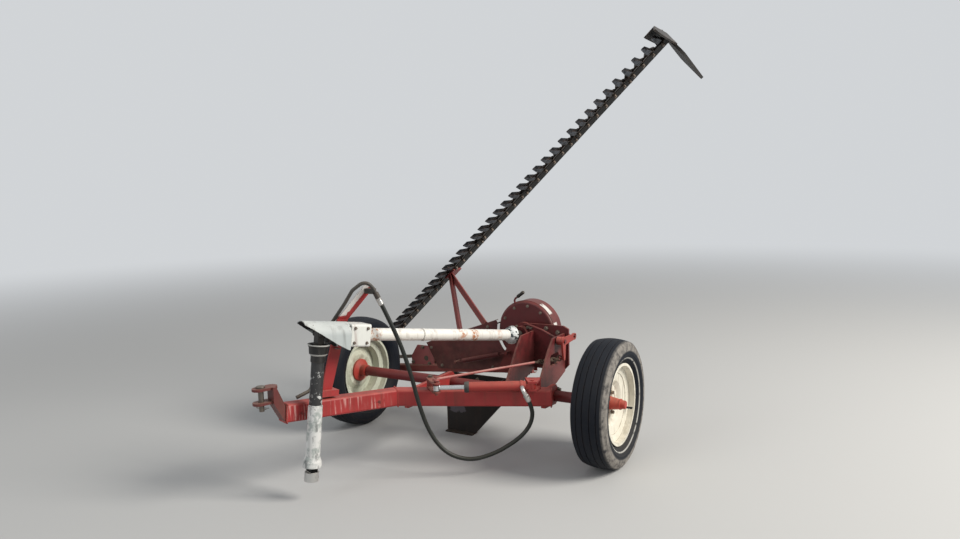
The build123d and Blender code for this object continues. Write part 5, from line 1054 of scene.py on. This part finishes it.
chain_steel = weathered(
    "chain_steel", (0.12, 0.085, 0.065), (0.22, 0.16, 0.13), (0.4, 0.4, 0.45, 0.25),
    under=(0.075, 0.032, 0.018), grain=2.5, gloss=0.4, metal=0.5)
gland_black = weathered(
    "gland_black", (0.020, 0.022, 0.024), (0.06, 0.065, 0.07), (0.5, 0.6, 0.2, 0.15),
    under=(0.15, 0.14, 0.13), gloss=0.35)
hose_black = weathered(
    "hose_rubber", (0.008, 0.010, 0.009), (0.022, 0.026, 0.022), (0.6, 0.0, 0.0, 0.04),
    under=(0.03, 0.03, 0.028), grain=2.0, gloss=0.26, mirror=0.3)
cylinder_red.dress("cylinder_barrel")
casting_red.dress("lift_rocker")
lever_red.dress("lift_lever")
plated.dress("cylinder_rod")
rod_paint.dress("pull_rod")
chain_steel.dress("lift_chain")
bright_steel.dress("hose_elbow")
worn_steel.dress("lever_pin")
hose_curve.materials.append(hose_black.material)

# Black gland nut at the barrel's mouth and a raised band near its base
cylinder_base, rod_eye = Vector((-0.500, 0.218, 0.448)), Vector((-0.060, 0.465, 0.448))
cylinder_run = (rod_eye - cylinder_base).normalized()
gland_profile = (
    (-0.004, 0.0272), (-0.004, 0.0285), (0.0, 0.0292), (0.012, 0.0292), (0.014, 0.0280), (0.019, 0.0280),
    (0.0215, 0.0255), (0.0215, 0.0128), (0.0185, 0.0128), (0.0185, 0.0262))
band_profile = (
    (0, 0.0268), (0, 0.0292), (0.002, 0.0300), (0.012, 0.0300), (0.014, 0.0292), (0.014, 0.0268))
gland_foot, band_foot = (cylinder_base + cylinder_run * start for start in (0.336, 0.052))
turned("cylinder_gland", "barrel", gland_black, gland_foot, cylinder_run, gland_profile, 40)
turned("cylinder_end_band", "barrel", cylinder_red, band_foot, cylinder_run, band_profile, 40)

# Crimped ferrules on the hose, at the elbow and at the pipe
ferrule_profile = (
    (-0.004, 0.0112), (-0.004, 0.0150), (0.006, 0.0150), (0.008, 0.0132), (0.012, 0.0142), (0.016, 0.0132),
    (0.020, 0.0142), (0.024, 0.0132), (0.028, 0.0142), (0.032, 0.0130), (0.034, 0.0112))
form = bmesh.new()
for end, inner in ((hose_route[0], hose_route[1]), (hose_route[-1], hose_route[-2])):
    lathe(form, end, Vector(inner) - Vector(end), ferrule_profile, 24)
finish_piece(form, "hose_ferrules", "frame", bright_steel, smooth=50)

# Split pins through the lever's pin and the pull rod's pin
split_pins = []
lever_hole, pull_hole = Vector((0.030, 0.385, 0.483)), Vector((-0.060, 0.465, 0.503))
for centre, way in ((lever_hole, Vector((0.5, 0.86, 0))), (pull_hole, Vector((0.86, -0.5, 0)))):
    way.normalize()
    side = up.cross(way)
    split_pins.append([centre + way * out + side * bend
                       for out, bend in ((-0.017, 0.004), (-0.014, 0), (0.012, 0), (0.017, 0.005))])
bars("lift_split_pins", "lever", bolt_steel, split_pins, 0.0013, 6)

# Drop plate: black plate that the machine stands on behind the axle, its paint scraped to
# a faded grey patch on the front.
plate_black = weathered(
    "plate_black", (0.009, 0.008, 0.009), (0.028, 0.022, 0.025), (0.5, 0.7, 0.28, 0.08),
    under=(0.050, 0.026, 0.020), grain=1.2, gloss=0.38, mirror=0.18)
place = plate_black.place()
x, y, z = parts(place)
ragged = times(minus(noise(place, 36.0, 4.0, 0.6), 0.5), 0.05)
in_x = near(plus(x, ragged), 0.165, 0.058, 0.050)
in_z = near(plus(z, ragged), 0.190, 0.066, 0.058)
patch = times(in_x, in_z, maths("GREATER_THAN", y, -0.0975), 0.85)
plate_black.lay_over(patch, (0.115, 0.100, 0.112), 0.6)
plate_black.dress("drop_plate")
bolts("drop_plate_bolts", "frame", [(forwards, 0.016, [(x, -0.095, 0.345) for x in (-0.150, 0.020, 0.205)])])
